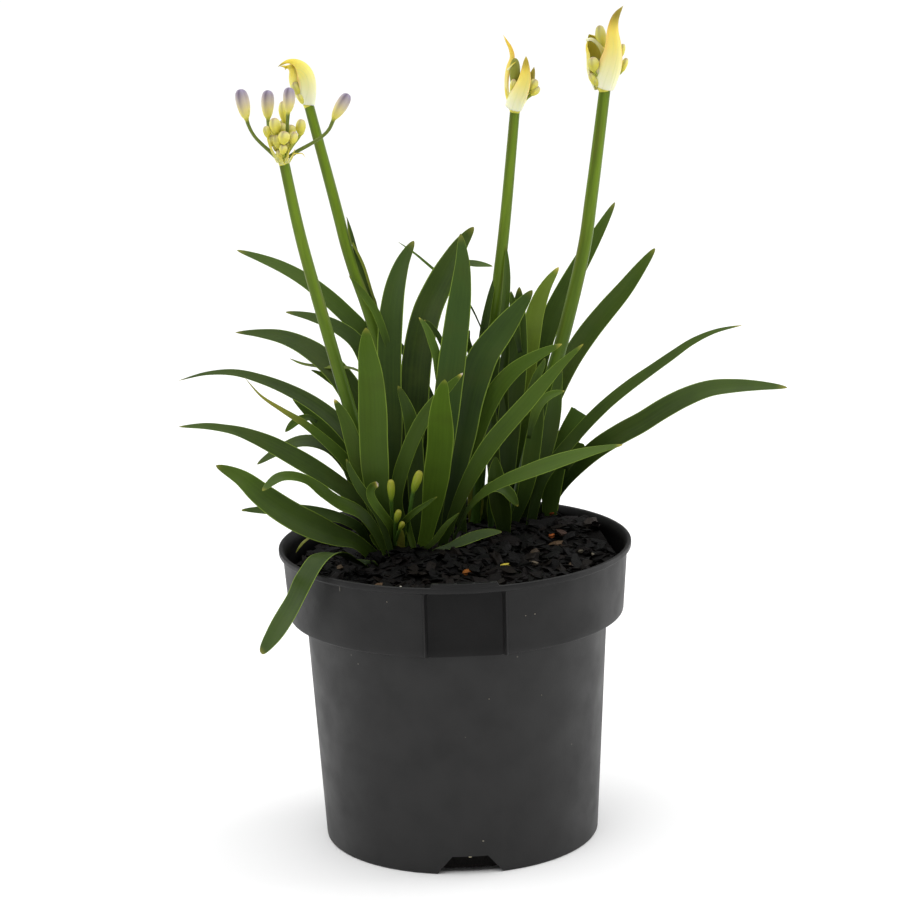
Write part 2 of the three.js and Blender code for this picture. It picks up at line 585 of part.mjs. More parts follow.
// Right head: the tallest spathe, with a folded half beside it.
spathe('right_tall', 9, [-0.3, 1, 0],
  [[65.8, 39.4, 294.7], [67.6, 37.6, 302], [68.8, 37.2, 309], [68.8, 37.6, 315], [69.4, 38.2, 320],
    [72.5, 39.8, 327.7]], 0.25);
spathe('right_folded', 7, [1, -0.35, 0],
  [[62, 42.7, 294.5], [58.8, 44, 301], [57.5, 44.4, 308], [58.4, 44.4, 316.5]], 0.4);
place('buds_right', joined([
  stalkedBud([[64.6, 42.8, 294.6], [64.2, 43.6, 306], [63.6, 43.8, 320]], 0.45, 1, 2.4, 2),
  stalkedBud([[64.6, 42.6, 294.8], [70.6, 43.4, 302], [73.2, 43.4, 310]], 0.45, 0.7, 1.7, 2),
  stalkedBud([[64.4, 42.3, 295], [61.9, 38.6, 300], [60.6, 37.2, 307.5]], 0.35, 0.7, 2, 2),
]), budGreen);

// Low buds on short stalks, in front of the left shoot.
function youngBud(name, [x, y], path, stalkShare, stalkRadius, budRadius) {
  const foot = [x, y, mixHeight(x, y) + GAP + 0.1];
  place(`young_bud_${name}`, stalkedBud([foot, ...path], stalkShare, stalkRadius, budRadius), budGreen);
}

youngBud('left', [-24.3, -8], [[-24.2, -8.4, 134], [-24.3, -9, 148.4]], 0.7, 0.9, 1.7);
youngBud('right', [-19.8, -7], [[-18.2, -8, 133.7], [-13, -10, 152.2]], 0.68, 1, 2.1);

export default plant;
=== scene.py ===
"""A potted agapanthus in bud: nursery pot, bark compost, strap leaves, scapes and flower heads.

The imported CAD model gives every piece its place. Each operator below makes one piece, or one
group of like pieces, as a fine skin over the CAD node that it stands for. Lengths are metres
and +Z is up. The front of the plant faces -Y.
"""

import functools
import json
import math
import random
from collections import namedtuple

import bmesh
import bpy
from bpy.props import FloatProperty, FloatVectorProperty, IntProperty, PointerProperty
from mathutils import Matrix, Vector, noise


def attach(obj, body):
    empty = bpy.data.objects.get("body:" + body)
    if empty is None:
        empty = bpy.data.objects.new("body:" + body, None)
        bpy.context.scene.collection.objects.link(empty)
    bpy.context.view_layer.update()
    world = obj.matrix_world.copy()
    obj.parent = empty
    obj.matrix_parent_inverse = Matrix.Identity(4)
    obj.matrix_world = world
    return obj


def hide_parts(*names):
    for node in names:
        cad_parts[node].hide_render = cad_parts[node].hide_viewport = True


bl_info = {
    "name": "Potted agapanthus",
    "version": (1, 0, 0),
    "blender": (4, 5, 0),
    "location": "View3D > Sidebar > Agapanthus",
    "description": "Makes the pot, the compost, the leaves and the flower heads of an agapanthus",
    "category": "Add Mesh",
}

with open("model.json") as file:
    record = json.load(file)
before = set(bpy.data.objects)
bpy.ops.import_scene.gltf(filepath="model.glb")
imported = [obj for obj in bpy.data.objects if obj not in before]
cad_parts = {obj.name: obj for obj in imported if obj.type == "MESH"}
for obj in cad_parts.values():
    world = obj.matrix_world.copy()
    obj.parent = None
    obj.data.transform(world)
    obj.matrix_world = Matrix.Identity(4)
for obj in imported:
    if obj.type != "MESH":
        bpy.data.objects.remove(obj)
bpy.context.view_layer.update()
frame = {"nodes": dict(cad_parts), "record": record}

MM = 0.001
BODY = "root"
SLOT_OF_NODE = {row["node"]: row["material_slot"] for row in frame["record"]["subparts"]}


def linear(hex_colour):
    """An sRGB hex colour as linear red, green, blue and alpha."""
    values = [int(hex_colour[i:i + 2], 16) / 255 for i in (1, 3, 5)]
    return tuple(v / 12.92 if v <= 0.04045 else ((v + 0.055) / 1.055) ** 2.4 for v in values) + (1.0,)


def colour_setting(name, description, hex_colour):
    return FloatVectorProperty(
        name=name, description=description, subtype="COLOR", size=4, min=0, max=1, default=linear(hex_colour)
    )


def length_setting(name, description, millimetres):
    return FloatProperty(
        name=name, description=description, subtype="DISTANCE", unit="LENGTH", default=millimetres * MM
    )


# ------------------------------------------------------------------ settings


class PotSettings(bpy.types.PropertyGroup):
    """Sizes and colour of the nursery pot."""

    height: length_setting("Height", "From the base to the top of the lip", 120.6)
    lip_radius: length_setting("Lip radius", "Outside radius of the rolled lip", 70.5)
    lip_height: length_setting("Lip height", "Height of the lip's outer face", 2.7)
    collar_top_radius: length_setting("Collar top radius", "Outside radius just under the lip", 68.9)
    collar_bottom_radius: length_setting("Collar bottom radius", "Outside radius at its lower edge", 67)
    shoulder_height: length_setting("Shoulder height", "Height of the collar's lower edge", 92)
    shoulder_radius: length_setting("Shoulder radius", "Outside radius of the body under the collar", 60.4)
    base_radius: length_setting("Base radius", "Outside radius at the base", 55.2)
    wall: length_setting("Wall", "Thickness of the moulded wall", 1.5)
    panel_width: length_setting("Panel width", "Width of the recessed label panel", 29)
    panel_face: length_setting("Panel face", "Distance of the panel's face from the pot's axis", 65.2)
    turn: FloatProperty(
        name="Turn", description="How far the label panel is turned from the front", subtype="ANGLE",
        default=math.radians(3),
    )
    plastic: colour_setting("Plastic", "Matt recycled polypropylene", "#100f0f")
    dust: colour_setting("Dust", "Dry potting dust on the plastic", "#8d8576")


class CompostSettings(bpy.types.PropertyGroup):
    """Sizes of the compost, the number of its chips and the colour of its fines."""

    edge_height: length_setting("Edge height", "Height of the compost at the wall", 109.5)
    mound_rise: length_setting("Mound rise", "How far the middle stands above the edge", 6.5)
    mound_spread: length_setting("Mound spread", "How wide the mound is", 42)
    radius: length_setting("Radius", "Radius of the surface inside the collar", 65.6)
    chips: IntProperty(name="Chips", description="Number of loose bark chips", default=1700, min=0)
    seed: IntProperty(name="Seed", description="Seed of the chips' places and shapes", default=11)
    soil: colour_setting("Fines", "Moist fines between the chips", "#070605")


class LeafSettings(bpy.types.PropertyGroup):
    """Colours and fine structure of the strap leaves."""

    vein_spacing: length_setting("Vein spacing", "Distance between the visible veins", 0.8)
    deep: colour_setting("Deep green", "Old, shaded blades", "#25330f")
    fresh: colour_setting("Fresh green", "Young, lit blades", "#54701c")
    # Painted shade: the colour that the lower part of each blade is darkened towards.
    foot: colour_setting("Foot", "Dark lower part of the blades", "#12200a")
    bloom: colour_setting("Waxy bloom", "Bluish bloom on some blades", "#34502f")
    margin: colour_setting("Margin", "Thin translucent edge", "#86a03a")
    underside: colour_setting("Underside", "Paler lower side", "#34501c")
    tip: colour_setting("Tip", "Yellowed tip", "#b5aa48")


class FlowerSettings(bpy.types.PropertyGroup):
    """Colours of the scapes, bracts and buds."""

    stem: colour_setting("Scape", "Waxy flower stem", "#6c8620")
    stem_shade: colour_setting("Scape streaks", "Olive streaks along the stem", "#4e6216")
    # Painted shade: the colour that a stem is darkened towards at its foot.
    stem_painted_shade: colour_setting("Scape foot", "Darker green of the stem's foot", "#2c4815")
    bract: colour_setting("Bract", "Papery yellow bract", "#efe27a")
    bract_base: colour_setting("Bract base", "White-cream base of a bract", "#f1f0d2")
    bract_edge: colour_setting("Bract edge", "Drying orange edge", "#dc9a50")
    bract_tip: colour_setting("Bract tip", "Olive tip of a bract", "#75702a")
    lavender: colour_setting("Lavender", "Tips of the coloured buds", "#948aa2")
    petal_line: colour_setting("Petal line", "Dusky line along each petal", "#5a4c5e")
    stalk: colour_setting("Stalk", "Stalks of the buds", "#66752e")
    bud_green: colour_setting("Bud green", "Closed young buds", "#cfca48")
    # The olive that some buds are mixed towards is partly their own colour and partly painted shade, for buds
    # that lie inside the bracts and behind other buds.
    bud_olive_and_shade: colour_setting("Bud olive", "Olive buds inside the bracts", "#80842c")


class StageSettings(bpy.types.PropertyGroup):
    """Camera, floor and lights."""

    lens: FloatProperty(name="Lens", description="Focal length", unit="CAMERA", default=120.25)
    camera_x: length_setting("Camera X", "Sideways place of the camera", 5.995)
    camera_y: length_setting("Camera Y", "Place of the camera in front of the pot's axis", -1163.59)
    camera_z: length_setting("Camera Z", "Height of the camera", 428.44)
    pitch: FloatProperty(name="Pitch", description="Looking down", subtype="ANGLE", default=0.22847)
    yaw: FloatProperty(name="Yaw", description="Looking left", subtype="ANGLE", default=0.00594)
    roll: FloatProperty(name="Roll", description="Turned clockwise", subtype="ANGLE", default=0.02775)
    floor: colour_setting("Floor", "Plain white card", "#fafafa")
    sky: FloatProperty(name="Surroundings", description="Strength of the white room", default=0.3)
    ceiling: FloatProperty(name="Ceiling", description="Broad even light from straight above", default=2.6)
    key: FloatProperty(name="Key light", description="Soft box above, front left", unit="POWER", default=4)
    left: FloatProperty(name="Left light", description="Soft box at the left", unit="POWER", default=3.7)
    right: FloatProperty(name="Right light", description="Soft box at the right", unit="POWER", default=8.8)


# ------------------------------------------------------------------ small tools


def deselect():
    if bpy.context.object and bpy.context.object.mode != "OBJECT":
        bpy.ops.object.mode_set(mode="OBJECT")
    bpy.ops.object.select_all(action="DESELECT")


def active(piece):
    """Selects one object only and makes it the active one."""
    deselect()
    piece.select_set(True)
    bpy.context.view_layer.objects.active = piece


def apply_modifiers(piece):
    active(piece)
    for modifier in list(piece.modifiers):
        bpy.ops.object.modifier_apply(modifier=modifier.name)


def cut(piece, tool, operation="DIFFERENCE"):
    """Joins or cuts a piece with a tool solid, and removes the tool."""
    modifier = piece.modifiers.new("cut", "BOOLEAN")
    modifier.operation = operation
    modifier.solver = "EXACT"
    modifier.object = tool
    apply_modifiers(piece)
    bpy.data.objects.remove(tool)


def tidy_mesh(piece, merge=0.004 * MM):
    """Merges doubles, closes open ends and points the faces outwards."""
    active(piece)
    bpy.ops.object.mode_set(mode="EDIT")
    bpy.ops.mesh.select_all(action="SELECT")
    bpy.ops.mesh.remove_doubles(threshold=merge)
    bpy.ops.mesh.dissolve_degenerate(threshold=merge / 4)
    bpy.ops.mesh.delete_loose()
    bpy.ops.mesh.select_all(action="SELECT")
    bpy.ops.mesh.fill_holes(sides=0)
    bpy.ops.mesh.select_all(action="SELECT")
    bpy.ops.mesh.normals_make_consistent(inside=False)
    bpy.ops.object.mode_set(mode="OBJECT")


def smooth(piece, degrees=180):
    active(piece)
    bpy.ops.object.shade_smooth_by_angle(angle=math.radians(degrees))


def join(name, parts):
    """Joins several made parts into one piece."""
    active(parts[0])
    for part in parts:
        part.select_set(True)
    if len(parts) > 1:
        bpy.ops.object.join()
    piece = bpy.context.object
    piece.name = name
    piece.data.name = name
    return piece


def hand_over(piece, material, slot, *nodes):
    """Gives a finished piece its material and its body, and hides the CAD nodes it stands for. The slot is
    not used.
    """
    active(piece)
    bpy.ops.object.transform_apply(location=True, rotation=True, scale=True)
    piece.data.materials.clear()
    piece.data.materials.append(material)
    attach(piece, BODY)
    if nodes:
        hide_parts(*nodes)


def add_node(tree, kind, inputs=None, stops=None, **settings):
    """Adds a shader node: its settings, its colour stops, and its sockets as values or links."""
    made = tree.nodes.new(kind)
    for name, value in settings.items():
        setattr(made, name, value)
    for i, (position, colour) in enumerate(stops or []):
        elements = made.color_ramp.elements
        element = elements[i] if i < 2 else elements.new(position)
        element.position = position
        element.color = colour
    for name, value in (inputs or {}).items():
        socket = made.inputs[name]
        if isinstance(value, bpy.types.NodeSocket):
            tree.links.new(value, socket)
        else:
            socket.default_value = value
    return made


def new_material(name, **shader_values):
    """A material with its shader; returns it with its node tree and shader node."""
    material = bpy.data.materials.new(name)
    material.use_nodes = True
    tree = material.node_tree
    shader = tree.nodes["Principled BSDF"]
    for socket, value in shader_values.items():
        shader.inputs[socket.replace("_", " ")].default_value = value
    return material, tree, shader


# ------------------------------------------------------------------ curves and skins


def smoothstep(low, high, value):
    t = min(max((value - low) / (high - low), 0), 1)
    return t * t * (3 - 2 * t)


def through(points, run):
    """A smooth curve through evenly spaced points, at a share of its length."""
    place = min(max(run, 0), 1) * (len(points) - 1)
    i = min(int(place), len(points) - 2)
    t = place - i
    a, b, c, d = (points[min(max(k, 0), len(points) - 1)] for k in (i - 1, i, i + 1, i + 2))
    cubic, square, slope = 3 * b - a - 3 * c + d, 2 * a - 5 * b + 4 * c - d, c - a
    return (cubic * t ** 3 + square * t * t + slope * t + 2 * b) * 0.5


def evenly(points, count):
    """Points at equal distances along the smooth curve through given ones."""
    steps = 240
    fine = [through(points, i / steps) for i in range(steps + 1)]
    lengths = [0.0]
    for a, b in zip(fine, fine[1:]):
        lengths.append(lengths[-1] + (b - a).length)
    even = []
    k = 0
    for i in range(count):
        wanted = lengths[-1] * i / (count - 1)
        while k < len(fine) - 2 and lengths[k + 1] < wanted:
            k += 1
        span = lengths[k + 1] - lengths[k]
        share = (wanted - lengths[k]) / span if span else 0
        even.append(fine[k].lerp(fine[k + 1], min(max(share, 0), 1)))
    return even


def profile(pairs, run):
    """A smooth value at a share of a length, from (share, value) pairs."""
    place = 0
    while place < len(pairs) - 2 and pairs[place + 1][0] < run:
        place += 1
    (u0, v0), (u1, v1) = pairs[place], pairs[place + 1]
    t = min(max((run - u0) / (u1 - u0), 0), 1)
    before = pairs[max(place - 1, 0)]
    after = pairs[min(place + 2, len(pairs) - 1)]
    slope0 = (v1 - before[1]) / (u1 - before[0]) * (u1 - u0)
    slope1 = (after[1] - v0) / (after[0] - u0) * (u1 - u0)
    bend = (t ** 3 - 2 * t * t + t) * slope0 + (t ** 3 - t * t) * slope1
    return (2 * t ** 3 - 3 * t * t + 1) * v0 + (3 * t * t - 2 * t ** 3) * v1 + bend


def millimetres(points):
    return [Vector(p) * MM for p in points]


def length_of(points):
    return sum((b - a).length for a, b in zip(points, points[1:]))


def crossing(turn):
    """Place across a skin, from -1 at one edge to 1 at the other and back, as turn goes from 0 to 1."""
    return -math.cos(2 * math.pi * turn)


def axes_at(centres, face, run):
    """The centre at a share of a line's length, the face made square to the line, and the side."""
    step = 0.01
    forward = (through(centres, run + step) - through(centres, run - step)).normalized()
    face = (face - forward * face.dot(forward)).normalized()
    return through(centres, run), face, forward.cross(face)


def rings_of(node):
    """The cross-section rings of a CAD blade or shoot, in order from its foot, and its tip."""
    mesh = bmesh.new()
    mesh.from_mesh(frame["nodes"][node].data)
    bmesh.ops.remove_doubles(mesh, verts=mesh.verts, dist=0.002 * MM)
    flatness = {}
    for v in mesh.verts:
        around = [e.other_vert(v) for e in v.link_edges]
        ring = [o for o in around if sum(e.other_vert(o) in around for e in o.link_edges) == 2]
        if len(ring) == len(around):
            normals = [f.normal for f in v.link_faces]
            flatness[v] = min(n.dot(normals[0]) for n in normals)
    foot = max(flatness, key=flatness.get)
    tip = max(flatness, key=lambda v: (v.co - foot.co).length)
    rings, seen, front = [], {foot}, [foot]
    while True:
        front = list({e.other_vert(v) for v in front for e in v.link_edges} - seen)
        if not front or tip in front:
            break
        seen.update(front)
        loop = [front[0]]
        while len(loop) < len(front):
            beside = {e.other_vert(loop[-1]) for e in loop[-1].link_edges}
            loop.append(next(o for o in front if o in beside and o not in loop))
        rings.append([v.co.copy() for v in loop])
    end = tip.co.copy()
    mesh.free()
    return rings, end


def blade_share(run, foot_share, slender=0.0, full=0.45, pointed=True):
    """Share of the full width: narrow at the foot, widest past the middle, pointed.

    A slender blade narrows from lower down; a negative value gives a blunter tip. The widening
    from the foot ends at the share full, and a blade that isn't pointed keeps its width.
    """
    widening = foot_share + (1 - foot_share) * smoothstep(0, full, run)
    if not pointed:
        return widening
    start = 0.55 - 0.25 * slender
    closed = min(max(run - start, 0) / (1 - start), 1)
    closing = (1 - closed ** (2.4 - 1.1 * slender)) ** (0.75 + 0.3 * slender)
    return widening * closing


# How many evenly spaced points hold a centre line.
CENTRE_POINTS = 17
# How far the foot of a blade goes down into the compost.
BURIED = 5 * MM


class Blade:
    """A leaf, given by its centre line, the side that its channel opens to, and its width."""

    foot_share = 0.5
    slender = 0.0
    full = 0.45
    pointed = True

    def __init__(self, centres, faces, width, rise=0.1, thickness=1.1 * MM):
        self.centres = centres
        self.faces = faces
        self.width = width
        self.rise = rise
        self.thickness = thickness
        self.length = length_of(centres)

    @classmethod
    def of_node(cls, node):
        """The blade that a node of the CAD stands for, with its foot carried down into the compost."""
        rings, tip = rings_of(node)
        centres, faces, widths, rises = [], [], [], []
        for i, ring in enumerate(rings):
            pairs = sorted(((ring[0], ring[2]), (ring[1], ring[3])), key=lambda p: (p[0] - p[1]).length)
            middle = (pairs[0][0] + pairs[0][1]) / 2
            lift = (pairs[1][0] + pairs[1][1]) / 2 - middle
            width = (pairs[1][0] - pairs[1][1]).length
            centres.append(middle)
            faces.append(lift.normalized())
            widths.append(width / blade_share(i / len(rings), cls.foot_share))
            rises.append(lift.length / width)
        middle = len(widths) // 2
        centres[0] += (centres[0] - centres[1]).normalized() * BURIED
        return cls([*centres, tip], [*faces, faces[-1]], widths[middle], rises[middle])

    @classmethod
    def of_path(cls, path, width, facings, rise=0.16, thickness=0.6 * MM):
        """facings: the side that the channel opens to, or a list of them from the foot to the tip."""
        centres = evenly(millimetres(path), CENTRE_POINTS)
        turning = [Vector(f) for f in (facings if isinstance(facings, list) else (facings, facings))]
        faces = [through(turning, i / (CENTRE_POINTS - 1)) for i in range(CENTRE_POINTS)]
        return cls(centres, faces, width * MM, rise, thickness)

    def shift(self, sideways, up, peak):
        """Bow the centre line: most at the share peak, and not at all at the foot and tip."""
        last = len(self.centres) - 1
        for i, centre in enumerate(self.centres):
            weight = smoothstep(0, peak, i / last) * (1 - smoothstep(peak, 1, i / last))
            self.centres[i] = centre + Vector((sideways, 0, up)) * weight * MM

    def share(self, run):
        """Share of the full width; the edges of a grown blade are a little uneven."""
        uneven = 1 + 0.04 * noise.noise(Vector((self.length * 1000, run * 8, 0)))
        return uneven * blade_share(run, self.foot_share, self.slender, self.full, self.pointed)

    @functools.lru_cache(maxsize=None)
    def section(self, run):
        return axes_at(self.centres, through(self.faces, run), run)

    def point(self, turn, run):
        """turn 0 to 0.5 crosses the upper side, 0.5 to 1 comes back underneath."""
        centre, face, side = self.section(run)
        across = crossing(turn)
        share = self.share(run)
        half = self.width / 2 * share
        valley = (math.sqrt(across ** 2 + 0.01) - 0.1) / (math.sqrt(1.01) - 0.1)
        body = self.thickness / 2 * (0.45 + 0.55 * share) * smoothstep(0, 0.25, share)
        skin = body * (0.2 + 0.7 * (1 - abs(across))) * math.sqrt(max(1 - across ** 8, 0))
        up = self.width * self.rise * share * valley + (skin if turn <= 0.5 else -skin)
        return centre + side * across * half + face * up

    def facts(self, turn, run):
        """Values that the materials read: distance from the midrib, and which side it is."""
        return {"edge": abs(crossing(turn)), "under": 0.0 if turn <= 0.5 else 1.0}

    def map_point(self, turn, run):
        """The blade laid flat, in metres, for patterns that follow it."""
        return crossing(turn) * self.width / 2 * self.share(run), self.length * run


class Shoot:
    """A round stem, or a stalk with its bud: a centre line with radii at shares of its length.

    The bud starts at the share bud_start. Its petals meet in shallow seams.
    """

    petals = 3
    facing = Vector((0.2, -1, 0))

    def __init__(self, path, radii, bud_start=1.0, seam_depth=0.09):
        self.centres = evenly(millimetres(path), CENTRE_POINTS)
        self.radii = radii
        self.bud_start = bud_start
        self.seam_depth = seam_depth if bud_start < 1 else 0
        self.length = length_of(self.centres)

    @classmethod
    def bud(cls, path, bud_length, stalk, bud, blunt=0.75, seam_depth=0.09):
        """A stalk that widens into a closed bud; blunt is the bud's width near its tip."""
        span = bud_length * MM / length_of(evenly(millimetres(path), CENTRE_POINTS))
        stalk_share = 1 - span
        radii = [
            (0, stalk), (stalk_share, stalk), (stalk_share + 0.14 * span, stalk * 0.35 + bud * 0.52),
            (stalk_share + 0.4 * span, bud * 0.93), (stalk_share + 0.62 * span, bud),
            (stalk_share + 0.86 * span, bud * blunt), (stalk_share + 0.96 * span, bud * blunt * 0.55), (1, 0),
        ]
        return cls(path, radii, stalk_share, seam_depth)

    @functools.lru_cache(maxsize=None)
    def section(self, run):
        return *axes_at(self.centres, self.facing, run), max(profile(self.radii, run), 0) * MM

    def ripening(self, run):
        """0 at the neck of the bud, 1 at its tip, and below 0 on the stalk."""
        return (run - self.bud_start) / max(1 - self.bud_start, 0.01)

    def petal_middle(self, turn):
        """1 along the middle of each petal, 0 at the seams."""
        return abs(math.cos(math.pi * self.petals * turn))

    def point(self, turn, run):
        centre, face, side, radius = self.section(run)
        angle = 2 * math.pi * turn
        seam = (1 - self.petal_middle(turn)) ** 2 * smoothstep(0.05, 0.6, self.ripening(run))
        radius *= 1 - self.seam_depth * seam
        return centre + (side * math.cos(angle) + face * math.sin(angle)) * radius

    def facts(self, turn, run):
        return {"bud": self.ripening(run), "streak": self.petal_middle(turn) ** 10}

    def map_point(self, turn, run):
        """The skin unrolled, in metres."""
        return turn * 2 * math.pi * profile(self.radii, 0.5) * MM, self.length * run


class Valve:
    """One half of an opened bract: a curved wall round an open side.

    The spine is the line along its back, facing is the open side, and the radius and the spread
    of the wall to each side, in degrees, change along the spine.
    """

    spine_points = 25

    def __init__(self, spine, facing, tip_facing, radii, spreads, thickness=0.45 * MM):
        self.centres = evenly(millimetres(spine), self.spine_points)
        start, end = Vector(facing).normalized(), Vector(tip_facing).normalized()
        self.faces = [start.lerp(end, i / (self.spine_points - 1)) for i in range(self.spine_points)]
        self.radii = radii
        self.spreads = spreads
        self.thickness = thickness
        self.length = length_of(self.centres)

    @functools.lru_cache(maxsize=None)
    def section(self, run):
        radius = max(profile(self.radii, run), 0.02) * MM
        spread = math.radians(profile(self.spreads, run))
        return *axes_at(self.centres, through(self.faces, run), run), radius, spread

    def point(self, turn, run):
        """turn 0 to 0.5 crosses the inside, 0.5 to 1 comes back outside."""
        centre, face, side, radius, spread = self.section(run)
        across = crossing(turn)
        thinned = math.sqrt(max(1 - across ** 6, 0)) * smoothstep(0, 0.05, 1 - run)
        half = min(self.thickness / 2, radius * 0.4) * thinned
        wall = radius + (-half if turn <= 0.5 else half)
        angle = across * spread
        return centre + face * (radius - math.cos(angle) * wall) + side * math.sin(angle) * wall

    def facts(self, turn, run):
        return {"run": run, "under": 1.0 if turn <= 0.5 else 0.0}

    def map_point(self, turn, run):
        """The wall laid flat, in metres."""
        *_, radius, spread = self.section(run)
        return crossing(turn) * spread * radius, self.length * run


def rolled(name, form, around, along, ease=1.0, extra=None):
    """A grid primitive rolled into a closed skin round a form, with its map and its facts.

    A larger ease puts the rows closer together towards the tip. extra gives further facts.
    """
    deselect()
    bpy.ops.mesh.primitive_grid_add(
        x_subdivisions=around, y_subdivisions=along, size=1, location=(0, 0, 0), calc_uvs=True
    )
    piece = bpy.context.object
    piece.name = name
    piece.data.name = name
    mesh = piece.data
    mesh.uv_layers[0].name = "blade"
    places = [(v.co.x + 0.5, 1 - (0.5 - v.co.y) ** ease) for v in mesh.vertices]
    values = [dict(form.facts(*p), **(extra(*p) if extra else {})) for p in places]
    for fact in values[0]:
        made = mesh.attributes.new(fact, "FLOAT", "POINT")
        made.data.foreach_set("value", [v[fact] for v in values])
    for loop, uv in zip(mesh.loops, mesh.uv_layers["blade"].data):
        uv.uv = form.map_point(*places[loop.vertex_index])
    for vertex, place in zip(mesh.vertices, places):
        vertex.co = form.point(*place)
    tidy_mesh(piece)
    smooth(piece)
    return piece


# ------------------------------------------------------------------ pot


def rounded(outline, radius, steps=4):
    """Rounds the corners of an outline of (across, height) points; its two ends stay as they are."""
    points = [outline[0]]
    for before, corner, after in zip(outline, outline[1:], outline[2:]):
        a, c, b = Vector(before), Vector(corner), Vector(after)
        reach = min(radius, (a - c).length * 0.45, (b - c).length * 0.45)
        start = c + (a - c).normalized() * reach
        end = c + (b - c).normalized() * reach
        for i in range(steps + 1):
            t = i / steps
            points.append(tuple(start * (1 - t) ** 2 + c * 2 * t * (1 - t) + end * t * t))
    return [*points, outline[-1]]


def turned(name, outline, steps):
    """Spins an outline of (radius, height) points about the pot's axis into a closed solid."""
    deselect()
    bpy.ops.mesh.primitive_circle_add(vertices=len(outline), radius=1, fill_type="NOTHING")
    piece = bpy.context.object
    piece.name = name
    for vertex, (radius, height) in zip(piece.data.vertices, outline):
        vertex.co = (radius, 0, height)
    bpy.ops.object.mode_set(mode="EDIT")
    bpy.ops.mesh.select_all(action="SELECT")
    bpy.ops.mesh.spin(steps=steps, angle=2 * math.pi, center=(0, 0, 0), axis=(0, 0, 1))
    bpy.ops.object.mode_set(mode="OBJECT")
    tidy_mesh(piece)
    return piece


def block(low, high, turn=0.0, top_scale=1.0, bevel=0.0):
    """A box between two corners, its top narrowed across, turned about the pot's axis."""
    middle = (Vector(low) + Vector(high)) / 2
    size = Vector(high) - Vector(low)
    deselect()
    bpy.ops.mesh.primitive_cube_add(size=1, location=(0, 0, 0))
    tool = bpy.context.object
    tool.data.transform(Matrix.Translation(middle) @ Matrix.Diagonal((*size, 1)))
    for vertex in tool.data.vertices:
        if vertex.co.z > middle.z:
            vertex.co.x = middle.x + (vertex.co.x - middle.x) * top_scale
    if bevel:
        bpy.ops.object.mode_set(mode="EDIT")
        bpy.ops.mesh.select_all(action="SELECT")
        bpy.ops.mesh.bevel(offset=bevel, segments=3, affect="EDGES")
        bpy.ops.object.mode_set(mode="OBJECT")
    tool.data.transform(Matrix.Rotation(turn, 4, "Z"))
    return tool


def pot_outline(pot):
    """Up the outside from the middle of the base, over the lip and down the inside."""
    lip_bottom = pot.height - pot.lip_height
    step = pot.shoulder_height + 1.8 * MM
    floor = 1.8 * MM
    return rounded([
        (0, 0),
        (pot.base_radius, 0),
        (pot.shoulder_radius, pot.shoulder_height),
        (pot.collar_bottom_radius, pot.shoulder_height + 0.1 * MM),
        (pot.collar_top_radius, lip_bottom),
        (pot.lip_radius, lip_bottom + 0.3 * MM),
        (pot.lip_radius, pot.height),
        (pot.lip_radius - 1.5 * MM, pot.height),
        (pot.collar_top_radius - pot.wall, lip_bottom - 0.8 * MM),
        (pot.collar_bottom_radius - pot.wall, step),
        (pot.shoulder_radius - pot.wall, step),
        (pot.base_radius - pot.wall, floor),
        (0, floor),
    ], 0.9 * MM)


# Farther from the axis than any part of the pot: the outer end of a tool that cuts its wall.
BEYOND = 80 * MM
TAB_WIDTH = 28 * MM
TAB_DEPTH = 2.4 * MM
TAB_RISE = 1.4 * MM
SLOT_LENGTH = 6 * MM
SLOT_WIDTH = MM
SLOT_SPACING = math.radians(5.8)
NOTCHES = 3
NOTCH_WIDTH = 28 * MM
NOTCH_HEIGHT = 7.5 * MM
# How close to the axis a drain notch reaches.
NOTCH_INNER = 46.2 * MM


